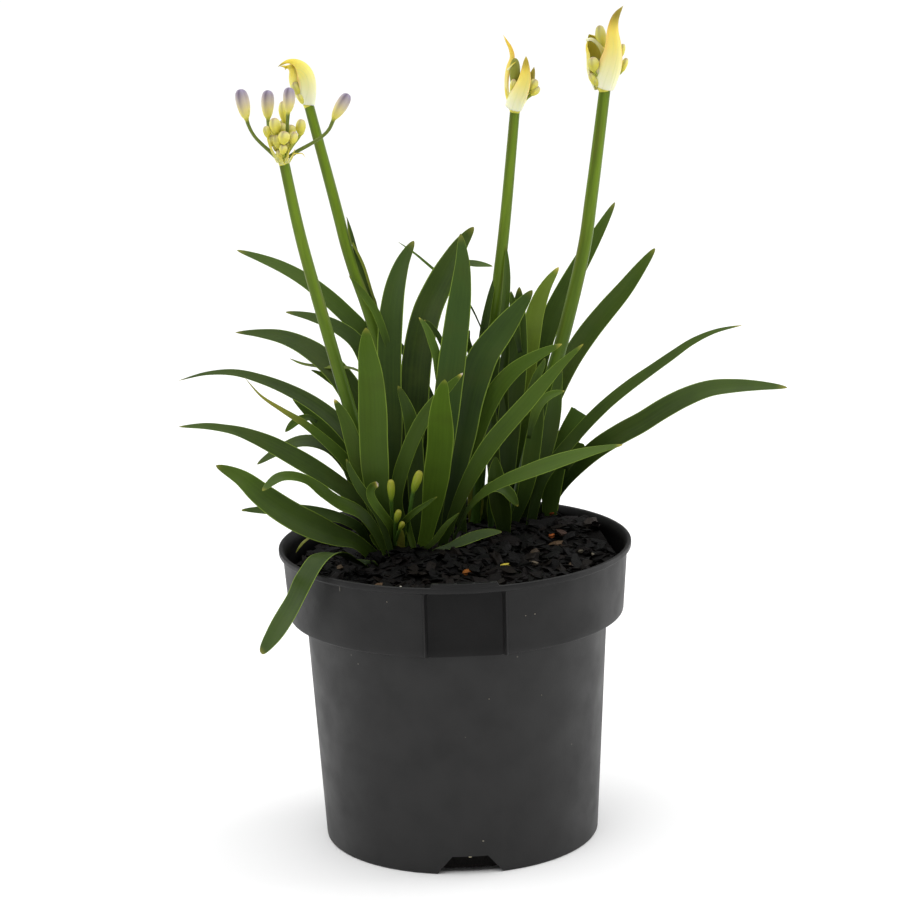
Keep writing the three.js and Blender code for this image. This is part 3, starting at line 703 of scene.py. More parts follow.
def make_pot(pot):
    """The turned shell, with its label panel, slotted tab and drain notches."""
    sides = 240
    shell = turned("nursery_pot", pot_outline(pot), sides)
    half = pot.panel_width / 2
    lip_bottom = pot.height - pot.lip_height
    # The wall behind the label panel, then the panel's recess cut into the collar.
    wall = block(
        (-half - pot.wall, -(pot.collar_top_radius - pot.wall), pot.shoulder_height + 0.4 * MM),
        (half + pot.wall, -(pot.panel_face - pot.wall), pot.height - 1.4 * MM), pot.turn, bevel=0.4 * MM,
    )
    cut(shell, wall, "UNION")
    recess = block(
        (-half, -BEYOND, pot.shoulder_height - 6 * MM), (half, -pot.panel_face, lip_bottom), bevel=0.5 * MM
    )
    for vertex in recess.data.vertices:
        # The sides of the recess lean outwards, as a mould needs them to.
        vertex.co.x *= 1 + 0.55 * smoothstep(pot.panel_face, BEYOND, -vertex.co.y)
    recess.data.transform(Matrix.Rotation(pot.turn, 4, "Z"))
    cut(shell, recess)
    # The tab that a label is pushed into stands on the rim above the panel.
    tab_outer = pot.lip_radius - 0.3 * MM
    ring = turned("tab", rounded([
        (tab_outer - TAB_DEPTH, pot.height - 0.8 * MM),
        (tab_outer, pot.height - 0.8 * MM),
        (tab_outer, pot.height + TAB_RISE),
        (tab_outer - TAB_DEPTH, pot.height + TAB_RISE),
        (tab_outer - TAB_DEPTH, pot.height - 0.79 * MM),
    ], 0.3 * MM, 2), sides)
    window = block(
        (-TAB_WIDTH / 2, -BEYOND, pot.height - 2 * MM), (TAB_WIDTH / 2, -50 * MM, pot.height + 3 * MM),
        top_scale=0.82,
    )
    cut(ring, window, "INTERSECT")
    ring.data.transform(Matrix.Rotation(pot.turn, 4, "Z"))
    cut(shell, ring, "UNION")
    slot_outer = tab_outer - 0.7 * MM
    for i in (-1, 0, 1):
        slot = block(
            (-SLOT_LENGTH / 2, -slot_outer, lip_bottom - MM),
            (SLOT_LENGTH / 2, SLOT_WIDTH - slot_outer, pot.height + 4 * MM), pot.turn + i * SLOT_SPACING,
        )
        cut(shell, slot)
    for i in range(NOTCHES):
        notch = block(
            (-NOTCH_WIDTH / 2, -BEYOND, -MM), (NOTCH_WIDTH / 2, -NOTCH_INNER, NOTCH_HEIGHT),
            pot.turn + i * math.tau / NOTCHES, top_scale=0.5,
        )
        cut(shell, notch)
    mark_panel_and_inside(shell, pot)
    return shell


def mark_panel_and_inside(shell, pot):
    """Marks the face of the label panel and the inside of the collar for the plastic's material."""
    panel = shell.data.attributes.new("panel", "FLOAT", "POINT").data
    inside = shell.data.attributes.new("inside", "FLOAT", "POINT").data
    lip_bottom = pot.height - pot.lip_height
    for i, vertex in enumerate(shell.data.vertices):
        place = Matrix.Rotation(-pot.turn, 3, "Z") @ vertex.co
        x, y, z = place
        on_face = -pot.panel_face - 0.3 * MM < y < -pot.panel_face + 0.5 * MM
        within = abs(x) < pot.panel_width / 2 + 0.5 * MM and pot.shoulder_height < z < lip_bottom
        panel[i].value = float(on_face and within)
        inner = place.xy.length < pot.collar_top_radius - 0.9 * MM and y > -pot.panel_face + 0.7 * MM
        inside[i].value = float(inner and pot.shoulder_height + MM < z < pot.height - MM)


def moulded_plastic(pot):
    """Recycled polypropylene, injection moulded with a fine matt grain.

    Reads as near-black grey with a soft broad sheen, faint flow mottling and specks of dry dust; the inside
    of the collar is darkened with painted shade.
    """
    material, tree, shader = new_material("recycled_polypropylene", IOR=1.49)
    place = add_node(tree, "ShaderNodeTexCoord").outputs["Object"]
    panel, inside = (
        add_node(tree, "ShaderNodeAttribute", attribute_name=name).outputs["Fac"]
        for name in ("panel", "inside")
    )
    mottle = add_node(tree, "ShaderNodeTexNoise", {"Vector": place, "Scale": 1 / (14 * MM), "Detail": 4})
    base = add_node(
        tree, "ShaderNodeMix", {"Factor": mottle.outputs["Fac"], "A": pot.plastic, "B": linear("#0e0e0e")},
        data_type="RGBA",
    )
    # The scuffed body has the most sheen, then the collar, the label panel and the inside.
    height = add_node(tree, "ShaderNodeSeparateXYZ", {"Vector": place}).outputs["Z"]
    collar = add_node(
        tree, "ShaderNodeMapRange",
        {"Value": height, "From Min": 88 * MM, "From Max": 95 * MM, "To Min": 0.42, "To Max": 0.3},
    )
    wiped = add_node(
        tree, "ShaderNodeMath", {0: panel, 1: -0.14, 2: collar.outputs["Result"]},
        operation="MULTIPLY_ADD",
    )
    clean = add_node(
        tree, "ShaderNodeMath", {0: inside, 1: -0.2, 2: wiped.outputs["Value"]},
        operation="MULTIPLY_ADD",
    )
    tree.links.new(clean.outputs["Value"], shader.inputs["Specular IOR Level"])
    # Dust specks about half a millimetre wide, one to each 13 mm.
    cells = add_node(
        tree, "ShaderNodeTexVoronoi", {"Vector": place, "Scale": 1 / (13 * MM), "Randomness": 1}
    )
    speck = add_node(
        tree, "ShaderNodeMapRange",
        {"Value": cells.outputs["Distance"], "From Min": 0.03, "From Max": 0.012, "To Max": 0.35},
    )
    dusty = add_node(
        tree, "ShaderNodeMix", {"Factor": speck.outputs["Result"], "A": base.outputs[2], "B": pot.dust},
        data_type="RGBA",
    )
    # Painted shade: the inside of the collar is darkened almost to black, standing in for the shade inside
    # the pot.
    inside_painted_shade = add_node(
        tree, "ShaderNodeMix", {"Factor": inside, "A": dusty.outputs[2], "B": linear("#070606")},
        data_type="RGBA",
    )
    tree.links.new(inside_painted_shade.outputs[2], shader.inputs["Base Color"])
    # Moulded grain of about 0.35 mm, drawn a little coarser than the real one so that it shows.
    grain = add_node(tree, "ShaderNodeTexNoise", {"Vector": place, "Scale": 1 / (0.7 * MM), "Detail": 3})
    rough = add_node(
        tree, "ShaderNodeMapRange",
        {"Value": mottle.outputs["Fac"], "From Min": 0.3, "From Max": 0.7, "To Min": 0.46, "To Max": 0.6},
    )
    tree.links.new(rough.outputs["Result"], shader.inputs["Roughness"])
    bump = add_node(
        tree, "ShaderNodeBump", {"Height": grain.outputs["Fac"], "Strength": 0.25, "Distance": 0.1 * MM}
    )
    tree.links.new(bump.outputs["Normal"], shader.inputs["Normal"])
    return material


# Crumbs and scratches on the pot: place in millimetres, width, height, turn in degrees and colour.
POT_SPECKS = [
    (2.7, -64.9, 113.9, 1.7, 0.7, 20, "#b59a6a"), (30.1, -61.1, 107, 0.6, 0.5, 0, "#7d786c"),
    (26.5, -62.7, 106.9, 0.5, 0.4, 0, "#746f64"), (-26.1, -63.5, 114, 0.6, 0.5, 0, "#6d685e"),
    (-20.6, -67.1, 121, 0.9, 0.4, 0, "#a8a498"), (32.2, -49.7, 70.9, 0.6, 0.5, 0, "#6b665c"),
    (11.8, -58.1, 72.6, 0.6, 0.5, 0, "#6b665c"), (8.1, -55.4, 13.8, 0.8, 0.6, 0, "#8a8577"),
    (-44.3, -52.7, 117, 0.3, 3.2, 0, "#77746c"), (2.8, -53.5, 7.2, 2, 1.6, 30, "#cfc6a6"),
]


def make_specks():
    """Flat crumbs that lie on the pot's wall, each with its own colour."""
    depth = 0.35 * MM
    flecks = []
    for x, y, z, width, height, turn, tint in POT_SPECKS:
        deselect()
        bpy.ops.mesh.primitive_ico_sphere_add(subdivisions=2, radius=0.5)
        fleck = bpy.context.object
        facing = math.atan2(x, -y)
        fleck.data.transform(
            Matrix.Translation(Vector((x, y, z)) * MM) @ Matrix.Rotation(facing, 4, "Z")
            @ Matrix.Rotation(math.radians(turn), 4, "Y")
            @ Matrix.Diagonal((width * MM, depth, height * MM, 1))
        )
        tints = fleck.data.attributes.new("chip_colour", "FLOAT_COLOR", "POINT")
        tints.data.foreach_set("color", linear(tint) * len(fleck.data.vertices))
        flecks.append(fleck)
    return join("crumbs_on_pot", flecks)


# ------------------------------------------------------------------ compost


MOUND_X, MOUND_Y = 5 * MM, 20 * MM
# Heaps on the surface: x, y, rise and spread in millimetres.
HEAPS = [(-20, -2, 3.0, 8), (44, 49, 5, 16), (60, 30, 4.5, 13)]
# How deep the fines lie under the chips.
FINES_DEPTH = 1.4 * MM


def mix_height(compost, x, y):
    """Height of the chips: a low mound with a few heaps on it."""
    reach = (x - MOUND_X) ** 2 + (y - MOUND_Y) ** 2
    height = compost.edge_height + compost.mound_rise * math.exp(-reach / (2 * compost.mound_spread ** 2))
    for heap_x, heap_y, rise, spread in HEAPS:
        reach = (x / MM - heap_x) ** 2 + (y / MM - heap_y) ** 2
        height += rise * MM * math.exp(-reach / (2 * spread ** 2))
    return height


def make_compost(compost, pot):
    """A closed body of fines: sides inside the pot, and a clumpy top."""
    gap = 0.5 * MM
    bottom = 2.2 * MM
    body_radius = pot.shoulder_radius - pot.wall - 0.6 * MM
    step = pot.shoulder_height + 3 * MM
    outline = [
        (0, bottom),
        (pot.base_radius - pot.wall - gap, bottom),
        (body_radius, pot.shoulder_height - MM),
        (body_radius, step),
        (pot.collar_bottom_radius - pot.wall - gap, step),
        (compost.radius, compost.edge_height - 2 * MM),
    ]
    rings = 60
    outline += [(compost.radius * (1 - i / rings), compost.edge_height - MM) for i in range(1, rings + 1)]
    body = turned("bark_compost", outline, 150)
    for vertex in body.data.vertices:
        if vertex.co.z > compost.edge_height - 1.5 * MM:
            x, y = vertex.co.x, vertex.co.y
            spot = Vector((x, y, 0))
            clump = noise.noise(spot / (7 * MM)) * 1.3 + noise.noise(spot / (3 * MM)) * 0.7
            vertex.co.z = mix_height(compost, x, y) - FINES_DEPTH + clump * MM
    # The wall behind the label panel takes a flat bite out of the compost.
    half = pot.panel_width / 2 + pot.wall + MM
    bite = block(
        (-half, -BEYOND, pot.shoulder_height - 2 * MM),
        (half, -(pot.panel_face - pot.wall - gap), pot.height + 10 * MM), pot.turn,
    )
    cut(body, bite)
    smooth(body)
    return body


def chip_shape(rng):
    """One splintered chip of bark: a cube with one cut, pulled about and split flat."""
    deselect()
    bpy.ops.mesh.primitive_cube_add(size=1)
    chip = bpy.context.object
    bpy.ops.object.mode_set(mode="EDIT")
    bpy.ops.mesh.select_all(action="SELECT")
    bpy.ops.mesh.subdivide(number_cuts=1)
    bpy.ops.object.mode_set(mode="OBJECT")
    for vertex in chip.data.vertices:
        taper = 1 - 0.45 * abs(vertex.co.x) * rng.uniform(0.4, 2)
        vertex.co.y *= taper
        vertex.co.z *= taper
        vertex.co += Vector((rng.uniform(-0.16, 0.16), rng.uniform(-0.16, 0.16), rng.uniform(-0.2, 0.2)))
    return chip


BARK_COLOURS = ["#060605", "#0a0908", "#0d0a09", "#060505", "#100c0b", "#090808", "#14100d", "#0b0a0a"]
# Chips that stand out: place in millimetres, size, turn in degrees and colour.
BRIGHT_CHIPS = [
    (41, 44, (3.4, 2.2, 1.6), 20, "#7a3c1c"), (39.5, 19.6, (3.6, 1.8, 1.6), 70, "#8a4a22"),
    (4.7, -24.1, (3.4, 2.4, 1.6), 40, "#7c4a1e"), (56, 27, (5.6, 4.6, 4), 30, "#2e2926"),
    (43.2, 21, (5, 3, 2), 120, "#3f3029"), (40.7, 9.5, (5.6, 3, 2), 10, "#4a3a2a"),
    (32, -0.2, (4.6, 2.4, 1.6), 60, "#3c332a"), (31.2, -13.3, (3.2, 1.6, 1.2), 150, "#5c5346"),
    (19.4, -16.7, (3.4, 1.4, 1.1), 5, "#b0a23c"), (21.1, 14.9, (1.3, 1, 1), 0, "#d8d4c4"),
    (22.3, 16.5, (1, 1, 1), 30, "#c8c4b4"), (23.2, 12.2, (1.2, 0.9, 0.9), 80, "#d0ccbc"),
    (50.5, 3.1, (2.4, 1.2, 1), 45, "#4c473c"), (55.2, -0.1, (2, 1, 1), 100, "#5c574c"),
    (2, 12, (5, 4, 3), 15, "#6e6a62"), (46, -14, (3, 1.6, 1.2), 80, "#4c4034"),
    (-30, -34, (3.4, 2, 1.4), 20, "#53412f"), (12, -38, (3.6, 2, 1.4), 130, "#3f352c"),
    (-46, -8, (3.4, 2, 1.4), 60, "#4c3f30"), (20, 52, (3.6, 2.2, 1.4), 30, "#5a4a38"),
]


# How many shapes the chips share, and the usual length of a chip in millimetres.
CHIP_SHAPES = 8
CHIP_LENGTH = 5.2
# The recess of the label panel, where no chip lies: half its width, and its distance from the axis.
RECESS_HALF, RECESS_FRONT = 22 * MM, 58 * MM


def make_chips(compost):
    """Loose chips scattered over the compost as one piece, and the few that stand out."""
    rng = random.Random(compost.seed)
    shapes = [chip_shape(rng) for _ in range(CHIP_SHAPES)]
    heap = bmesh.new()
    colour = heap.verts.layers.float_color.new("chip_colour")

    def lay(shape, place, size, turn, tilt, hex_colour):
        before = len(heap.verts)
        heap.from_mesh(shape.data)
        heap.verts.ensure_lookup_table()
        fresh = heap.verts[before:]
        tilted = Matrix.Rotation(tilt[0], 4, "X") @ Matrix.Rotation(tilt[1], 4, "Y")
        spin = Matrix.Rotation(turn, 4, "Z") @ tilted
        matrix = Matrix.Translation(place) @ spin @ Matrix.Diagonal((*size, 1))
        bmesh.ops.transform(heap, matrix=matrix, verts=fresh)
        for vertex in fresh:
            vertex[colour] = linear(hex_colour)

    for _ in range(compost.chips):
        scale = min(rng.lognormvariate(-0.15, 0.45), 1.8)
        radius = (compost.radius - (0.4 + 2.2 * scale) * MM) * math.sqrt(rng.random())
        angle = rng.uniform(0, 2 * math.pi)
        x, y = radius * math.cos(angle), radius * math.sin(angle)
        if abs(x) < RECESS_HALF and y < -RECESS_FRONT:
            continue
        size = Vector((CHIP_LENGTH * scale, rng.uniform(2, 3.6) * scale, rng.uniform(0.9, 2) * scale)) * MM
        z = mix_height(compost, x, y) + rng.uniform(-1.6, 0.5) * MM
        tilt = (rng.gauss(0, 0.35), rng.gauss(0, 0.3))
        lay(rng.choice(shapes), (x, y, z), size, rng.uniform(0, math.pi), tilt, rng.choice(BARK_COLOURS))
    for x, y, size, turn, tint in BRIGHT_CHIPS:
        place = (x * MM, y * MM, mix_height(compost, x * MM, y * MM) + 0.7 * MM)
        lay(shapes[0], place, Vector(size) * MM, math.radians(turn), (0.1, -0.1), tint)
    mesh = bpy.data.meshes.new("bark_chips")
    heap.to_mesh(mesh)
    heap.free()
    for shape in shapes:
        bpy.data.objects.remove(shape)
    piece = bpy.data.objects.new("bark_chips", mesh)
    bpy.context.scene.collection.objects.link(piece)
    return piece


def moist_fines(compost):
    """Moist bark fines and peat: almost black, rough, with crumbs of about a millimetre."""
    material, tree, shader = new_material("moist_fines", Roughness=0.85, Specular_IOR_Level=0.1)
    place = add_node(tree, "ShaderNodeTexCoord").outputs["Object"]
    crumbs = add_node(tree, "ShaderNodeTexNoise", {"Vector": place, "Scale": 1 / (1.1 * MM), "Detail": 5})
    shade = add_node(
        tree, "ShaderNodeValToRGB", {"Fac": crumbs.outputs["Fac"]},
        stops=[(0.35, compost.soil), (0.72, linear("#0d0b0a"))],
    )
    tree.links.new(shade.outputs["Color"], shader.inputs["Base Color"])
    bump = add_node(
        tree, "ShaderNodeBump", {"Height": crumbs.outputs["Fac"], "Strength": 1.0, "Distance": 0.6 * MM}
    )
    tree.links.new(bump.outputs["Normal"], shader.inputs["Normal"])
    return material


def bark():
    """Composted pine bark: dark brown splinters with layered grain and a damp dull gloss."""
    material, tree, shader = new_material("composted_bark", Roughness=0.6, Specular_IOR_Level=0.1)
    place = add_node(tree, "ShaderNodeTexCoord").outputs["Object"]
    own = add_node(tree, "ShaderNodeAttribute", attribute_name="chip_colour").outputs["Color"]
    grain = add_node(
        tree, "ShaderNodeTexNoise", {"Vector": place, "Scale": 1 / (1.3 * MM), "Detail": 6, "Roughness": 0.7}
    )
    light = add_node(
        tree, "ShaderNodeMapRange",
        {"Value": grain.outputs["Fac"], "From Min": 0.3, "From Max": 0.75, "To Min": 0.45, "To Max": 1.6},
    )
    shade = add_node(
        tree, "ShaderNodeMix",
        {"Factor": 1.0, "A": own, "B": light.outputs["Result"]},
        data_type="RGBA", blend_type="MULTIPLY",
    )
    tree.links.new(shade.outputs[2], shader.inputs["Base Color"])
    bump = add_node(
        tree, "ShaderNodeBump", {"Height": grain.outputs["Fac"], "Strength": 0.8, "Distance": 0.4 * MM}
    )
    tree.links.new(bump.outputs["Normal"], shader.inputs["Normal"])
    return material


# ------------------------------------------------------------------ leaves

# How fresh a blade is, from 0 for deep green to 1 for light green; how yellow its tip is, with 2 for
# bleached white; how bluish its bloom is; how pale it is, and from which share of its length on;
# and how much painted shade darkens its lower part. Freshness is partly painted light as well: blades
# that lie in shade, such as tall_dark, are given deeper green, and lit ones, such as front_centre, fresher.
Look = namedtuple("Look", "fresh tip bloom pale pale_from shade", defaults=(0, 0, 1))
USUAL_LOOK = (0.25, 0.4, 0.1)
LEAF_LOOKS = {
    "tall_dark": (0.05, 0.3, 0, 0, 0, 1.2), "tall_left": (0.1, 0.3, 0.15), "tall_centre": (0.3, 0.3, 0.4),
    "right_lance": (0.15, 0.2, 0.3), "olive_tip": (1.2, 1, 0, 0.1, 0.3, 1.1), "right_short": (0.6, 0.8, 0),
    "front_right_long": (0.5, 0.6, 0), "front_centre": (0.95, 0.3, 0, 0, 0, 0.3),
    "front_tongue": (0.75, 0.5, 0, 0, 0, 1.3), "front_pink_tip": (0.5, 1.8, 0),
    "centre_pale_tip": (0.6, 2, 0), "back_left_high": (0.45, 0.35, 0), "back_left_mid": (0.15, 0.3, 0.1),
    "left_broad": (0, 0.4, 0), "left_arch_high": (0.05, 0.4, 0), "left_pale": (0.6, 0.5, 0, 0.45, 0.6),
    "left_arch_low": (0.2, 0.35, 0), "front_left_broad": (0.45, 0.4, 0, 0, 0, 0.5),
    "front_right_low": (0.55, 1, 0), "rim_drape": (0.1, 0.4, 0.1), "right_arch": (0.25, 0.5, 0),
    "right_tall": (0.3, 0.3, 0), "back_right_tall": (0.3, 0.4, 0),
    "front_short": (0.1, 0.3, 0.1, 0, 0, 0.6), "right_shadow": (0.05, 0.2, 0.1),
    "left_hidden": (0.05, 0.2, 0), "right_slender": (0.3, 0.9, 0),
    "left_small_arch": (0.4, 0.4, 0, 0, 0, 0.6), "front_sliver": (0.3, 0.4, 0),
    "right_folded": (0.45, 0, 0.2, 0, 0, 0.25),
}
# Outlines that differ: share of the CAD blade's width, how slender it is, share of the width at its
# foot, and where along it the full width is reached.
Outline = namedtuple("Outline", "width slender foot_share full", defaults=(1, 0, 0.5, 0.45))
LEAF_FORMS = {
    "left_arch_high": (0.86, 0.7), "left_arch_low": (1, 0.35), "left_pale": (0.92, 1),
    "left_broad": (1, 0.4), "back_left_high": (0.74, -0.1, 0.6, 0.3), "front_left_broad": (0.93, 0.1, 0.45),
    "rim_drape": (1, -0.5, 0.8, 0.3), "right_arch": (1, -0.05), "right_slender": (0.85, 0.3, 0.6, 0.3),
    "right_tall": (0.96, -0.15), "front_right_low": (1, 0.2, 0.2, 0.8), "front_right_long": (1, 0.2),
    "tall_dark": (1.05, -0.1), "left_small_arch": (1.25, 0, 0.35, 0.4),
    "front_sliver": (0.65, 0.2, 0.5, 0.4), "tall_left": (0.98, -0.2), "back_left_mid": (1.08,),
}
# Blades that bow another way than their plain CAD path: millimetres sideways and up, and where most.
LEAF_BOWS = {
    "tall_dark": (2.7, -0.4, 0.8), "tall_left": (0.5, 0, 0.8), "olive_tip": (0.5, 0, 0.7),
    "back_left_high": (-0.5, -0.5, 0.3), "back_left_mid": (0, -0.4, 0.7), "left_broad": (0, 0.3, 0.6),
    "left_arch_high": (0, 0.2, 0.7), "left_arch_low": (-0.2, -1.5, 0.7), "left_pale": (-0.5, -0.9, 0.75),
    "left_hidden": (0.5, 0.8, 0.5), "left_small_arch": (0, -1.7, 0.75),
    "front_left_broad": (-0.8, -1.8, 0.65), "right_arch": (0, -1.5, 0.8),
    "right_slender": (-0.4, 1.1, 0.85), "right_tall": (-2.4, 0.2, 0.3), "rim_drape": (-1.0, -0.6, 0.3),
}
# Small leaves that the CAD leaves out: shoot, width, look, the side or sides that the channel
# opens to, and centre line.
SMALL_LEAVES = [
    ("left", 2, (1.2, 0.6, 0, 0.15), (0, -0.5, 0.9), [
        (-33, 19, 184.5), (-39.6, 22.8, 187.3), (-48.6, 25.6, 187.4), (-55.5, 28.4, 187.6),
        (-60.5, 31.2, 188.2), (-65.3, 34, 189.9),
    ]),
    ("left", 2.9, (0.6, 0.4, 0), (0, -1, 0.6), [
        (-33, 22, 168), (-36.2, 24, 170.7), (-40.9, 26, 174.5), (-46.3, 28, 179.6), (-52.1, 30, 183.5),
        (-56.6, 32, 185.3),
    ]),
    ("left", 2.4, (0.15, 0, 0), (0.5, -1, 0), [
        (-22, 33, 184), (-26.8, 33.6, 197), (-29.8, 34.4, 208), (-33.6, 34.8, 220.4), (-36.6, 35.4, 231),
        (-38.6, 36, 240.7), (-40.2, 36.6, 247),
    ]),
    ("left", 1.2, (0.9, 0.4, 0, 0.2), (0.5, -1, 0), [
        (-28, 32.6, 200), (-29.2, 33.6, 210.6), (-30.9, 34, 215.9), (-33.8, 34.6, 226.5),
        (-36.4, 35, 232.7), (-39, 35.6, 238.3), (-40, 36, 245.6),
    ]),
    ("left", 3.2, (0.7, 0.4, 0), (0.2, -1, 0.2), [
        (-23, 26, 188), (-25.6, 27, 198), (-27.5, 28, 203.8), (-29.7, 28.8, 209.5), (-32.8, 29.5, 214.3),
        (-35.9, 30.2, 218.6), (-39.8, 31, 223.8),
    ]),
    ("middle", 1.2, (0.9, 0.4, 0), (0, -1, 0.6), [
        (13.3, 50, 196.5), (8.6, 53.2, 206.4), (1.5, 56.4, 214.4), (-6.2, 59.6, 220.8),
        (-14.2, 62.8, 227.4), (-20.6, 66, 231.5),
    ]),
    ("right", 4.4, (0.35, 0.9, 0), (0, -0.8, 1), [
        (-4, 49, 216), (-1.3, 50, 219.7), (2.9, 53.2, 222.2), (6.2, 56.4, 222.6), (9.1, 59.6, 222.2),
        (14, 62.8, 221.3), (18.5, 66, 220.1),
    ]),
    ("middle", 3.8, (0.75, 1, 0.1), (0.5, -1, 0), [
        (-4, 18, 172), (-4.6, 18.8, 180), (-5.6, 21.2, 191.4), (-7.5, 22.8, 198.1), (-9.3, 24.4, 202.8),
        (-12.1, 26, 206.9),
    ]),
    ("middle", 2.4, (0.2, 0.8, 0.1), (-0.4, -1, 0), [
        (-1.4, 25.6, 186), (-1.6, 26, 192.4), (-3.5, 26.5, 197.3), (-5.4, 27, 200.9), (-8.1, 27.5, 204.2),
        (-10.1, 28, 205.4),
    ]),
    ("middle", 3.4, (0.3, 0.3, 0.1), (0.3, -1, 0.4), [
        (-5.2, 28, 164), (-8.3, 34, 172.3), (-12.6, 38, 179.9), (-17.3, 42, 187.2), (-21.7, 46, 193.6),
        (-23.7, 50, 196.2),
    ]),
    ("middle", 3, (0.2, 0.3, 0), (0.3, -1, 0.3), [
        (-5, 29, 160), (-6.4, 30, 163.6), (-10, 33, 168.8), (-13.1, 36, 173.9),
    ]),
    ("right", 3.6, (0.05, 0.2, 0.1), (-0.4, -1, 0), [
        (10.6, 41, 160), (12.4, 41, 180.5), (12.8, 41, 188.7), (14.5, 41.4, 199.7), (17, 42, 211.4),
        (19.6, 43, 221.5),
    ]),
    ("right", 3.8, (0.5, 0.3, 0), (0.5, -1, 0), [
        (15.6, 39.4, 180), (19, 40, 194), (22.2, 40.4, 206.3), (23.4, 40.6, 216.4), (23.8, 40.8, 225.6),
        (23.8, 41, 232.6),
    ]),
    ("right", 3.6, (0.4, 0.4, 0), (0.2, -1, 0), [
        (28.6, 43, 188), (27.1, 44, 197.2), (26.5, 46, 204.3), (25.5, 48, 212.7),
    ]),
    ("right", 3.8, (0.6, 0.9, 0), (-0.3, -1, 0.5), [
        (31, 25, 156), (32.4, 26, 161.3), (35, 27, 168.1), (38.4, 28, 171.9), (42.1, 29, 173.5),
        (46, 30, 174.2),
    ]),
    ("right", 3.6, (0.3, 0.3, 0), (0, -1, 0.2), [
        (29, 37, 162), (31.3, 38, 169.1), (34.8, 39.3, 178), (37.4, 40.7, 182.6), (38.7, 42, 185.6),
    ]),
    ("left", 3.5, (0.5, 2, 0), (0.4, -1, 0), [
        (-26.2, 2, 114.4), (-25.4, 0, 119.5), (-24.9, -4, 126.7), (-27.4, -7, 132.5), (-30.8, -8.5, 137.9),
        (-33, -8, 142.3), (-32.5, -8, 145.5), (-29.6, -8, 146.9),
    ]),
    ("left", 2.4, (0.3, 0.4, 0), (0.3, -1, 0.4), [
        (-24.9, 3, 115), (-23.8, 0, 124.4), (-21.2, -4, 128.7), (-16.5, -8, 134.2), (-11.1, -10, 138.4),
        (-6.4, -12, 141.9),
    ]),
    ("left", 3.6, (0.3, 0.4, 0), (-0.3, -0.8, 0.6), [
        (-27.4, 2.4, 114.6), (-28.4, 1.6, 117), (-30, 1, 119.6), (-32.3, 0, 122.3), (-34, -1, 124.1),
    ]),
    ("left", 3.2, (0.15, 0.4, 0), (-0.6, -0.8, 0.2), [
        (-27, 4, 115), (-28.2, 3.4, 118.6), (-29.2, 2.6, 122.4), (-29.8, 2, 127.2),
    ]),
    ("left", 2.8, (0.35, 0.6, 0), (0.5, -1, 0.2), [
        (-15.6, 3, 112.4), (-17, 2, 118.7), (-18.1, 1, 123.6), (-18.7, 0, 128.4), (-19, -1, 132),
    ]),
    ("left", 4.2, (0.5, 0, 0, 0.3, 0, 0), (0, -1, 0.2), [
        (-21.7, 4.4, 112), (-22.1, 3, 117.3), (-22, 2, 120.9), (-21, 1, 125.4),
    ]),
    ("left", 1.1, (1.2, 1, 0, 0.4), (0, -0.8, 0.6), [
        (-56, 25, 119), (-58.7, 21.5, 118), (-61.3, 17, 117.2), (-63.2, 13.4, 115.8), (-64.4, 11.4, 114.2),
    ]),
    ("left", 2.6, (0.9, 0.4, 0), (0, -0.6, 1), [
        (-60, 8, 126), (-65.3, 8, 129.8), (-71.9, 6, 132.4), (-78.5, 4, 133.9), (-85, 2, 134.6),
    ]),
    ("right", 3, (0.4, 0.4, 0), (-0.4, -1, 0.2), [
        (9, 34, 182), (8.9, 34, 188.9), (7.4, 34, 195.5), (8.3, 34, 199.6),
    ]),
    ("left", 3.2, (0.6, 0.5, 0), (0.3, -1, 0.5), [
        (-53.7, 8, 168.9), (-56.5, 8, 170.6), (-59.3, 8, 170.5), (-62.9, 8, 168.8), (-66.6, 8, 165.2),
    ]),
    ("right", 5.4, (0.3, 0.3, 0), (-0.3, -1, 0), [
        (46, 36.6, 140), (48.8, 36, 145.6), (50.9, 35.3, 148.7), (52.5, 34.7, 149.6), (53.6, 34, 147.2),
    ]),
    ("middle", 4, (0.05, 0, 0, 0, 0, 1.2), (0, -1, 0), [
        (12.6, 47, 112), (13, 47, 118), (13.3, 47, 123), (13.5, 48, 128.4),
    ]),
    ("right", 8.6, (0.1, 0, 0, 0, 0, 1.2), (-0.3, -1, 0), [
        (20.5, 28, 111), (20.3, 27.8, 117), (19.8, 27.4, 124), (18.7, 27, 131), (17.8, 27, 139),
        (17.4, 28, 148),
    ]),
    ("right", 5, (0.25, 0.9, 0), [(0.2, -1, 0.6), (0, -1, 0.8), (-0.2, -1, 0.6)], [
        (9.6, 25, 131.4), (14.3, 22, 136.1), (17.6, 21, 137), (20.8, 20, 136), (23.6, 19.4, 133),
        (25.9, 19, 129.2),
    ]),
    ("middle", 6.6, (0.4, 0, 0, 0.25, 0, 0.2), (-0.2, -1, 0), [
        (7.8, 46, 112), (8.2, 45.5, 117.2), (8.7, 45, 121.6), (9, 45, 125.8), (8.3, 45, 131.4),
        (7.6, 45, 137),
    ]),
    ("middle", 5.6, (0, 0.1, 0), (0, -1, 0), [
        (17, 37, 112), (17.4, 38, 119), (17, 38, 136), (16.2, 38, 153), (16.6, 38, 172),
    ]),
    ("middle", 5.2, (0, 0.1, 0), (0.2, -1, 0), [
        (-10.6, 24, 112), (-12.1, 26, 135), (-11.9, 28, 156), (-9.7, 30, 178),
    ]),
    ("right", 5.6, (0.05, 0.1, 0.1), (-0.1, -1, 0), [
        (21.6, 46, 112), (21.8, 46, 123), (21.1, 46, 147), (20.9, 46, 172), (23.9, 46, 196),
    ]),
]
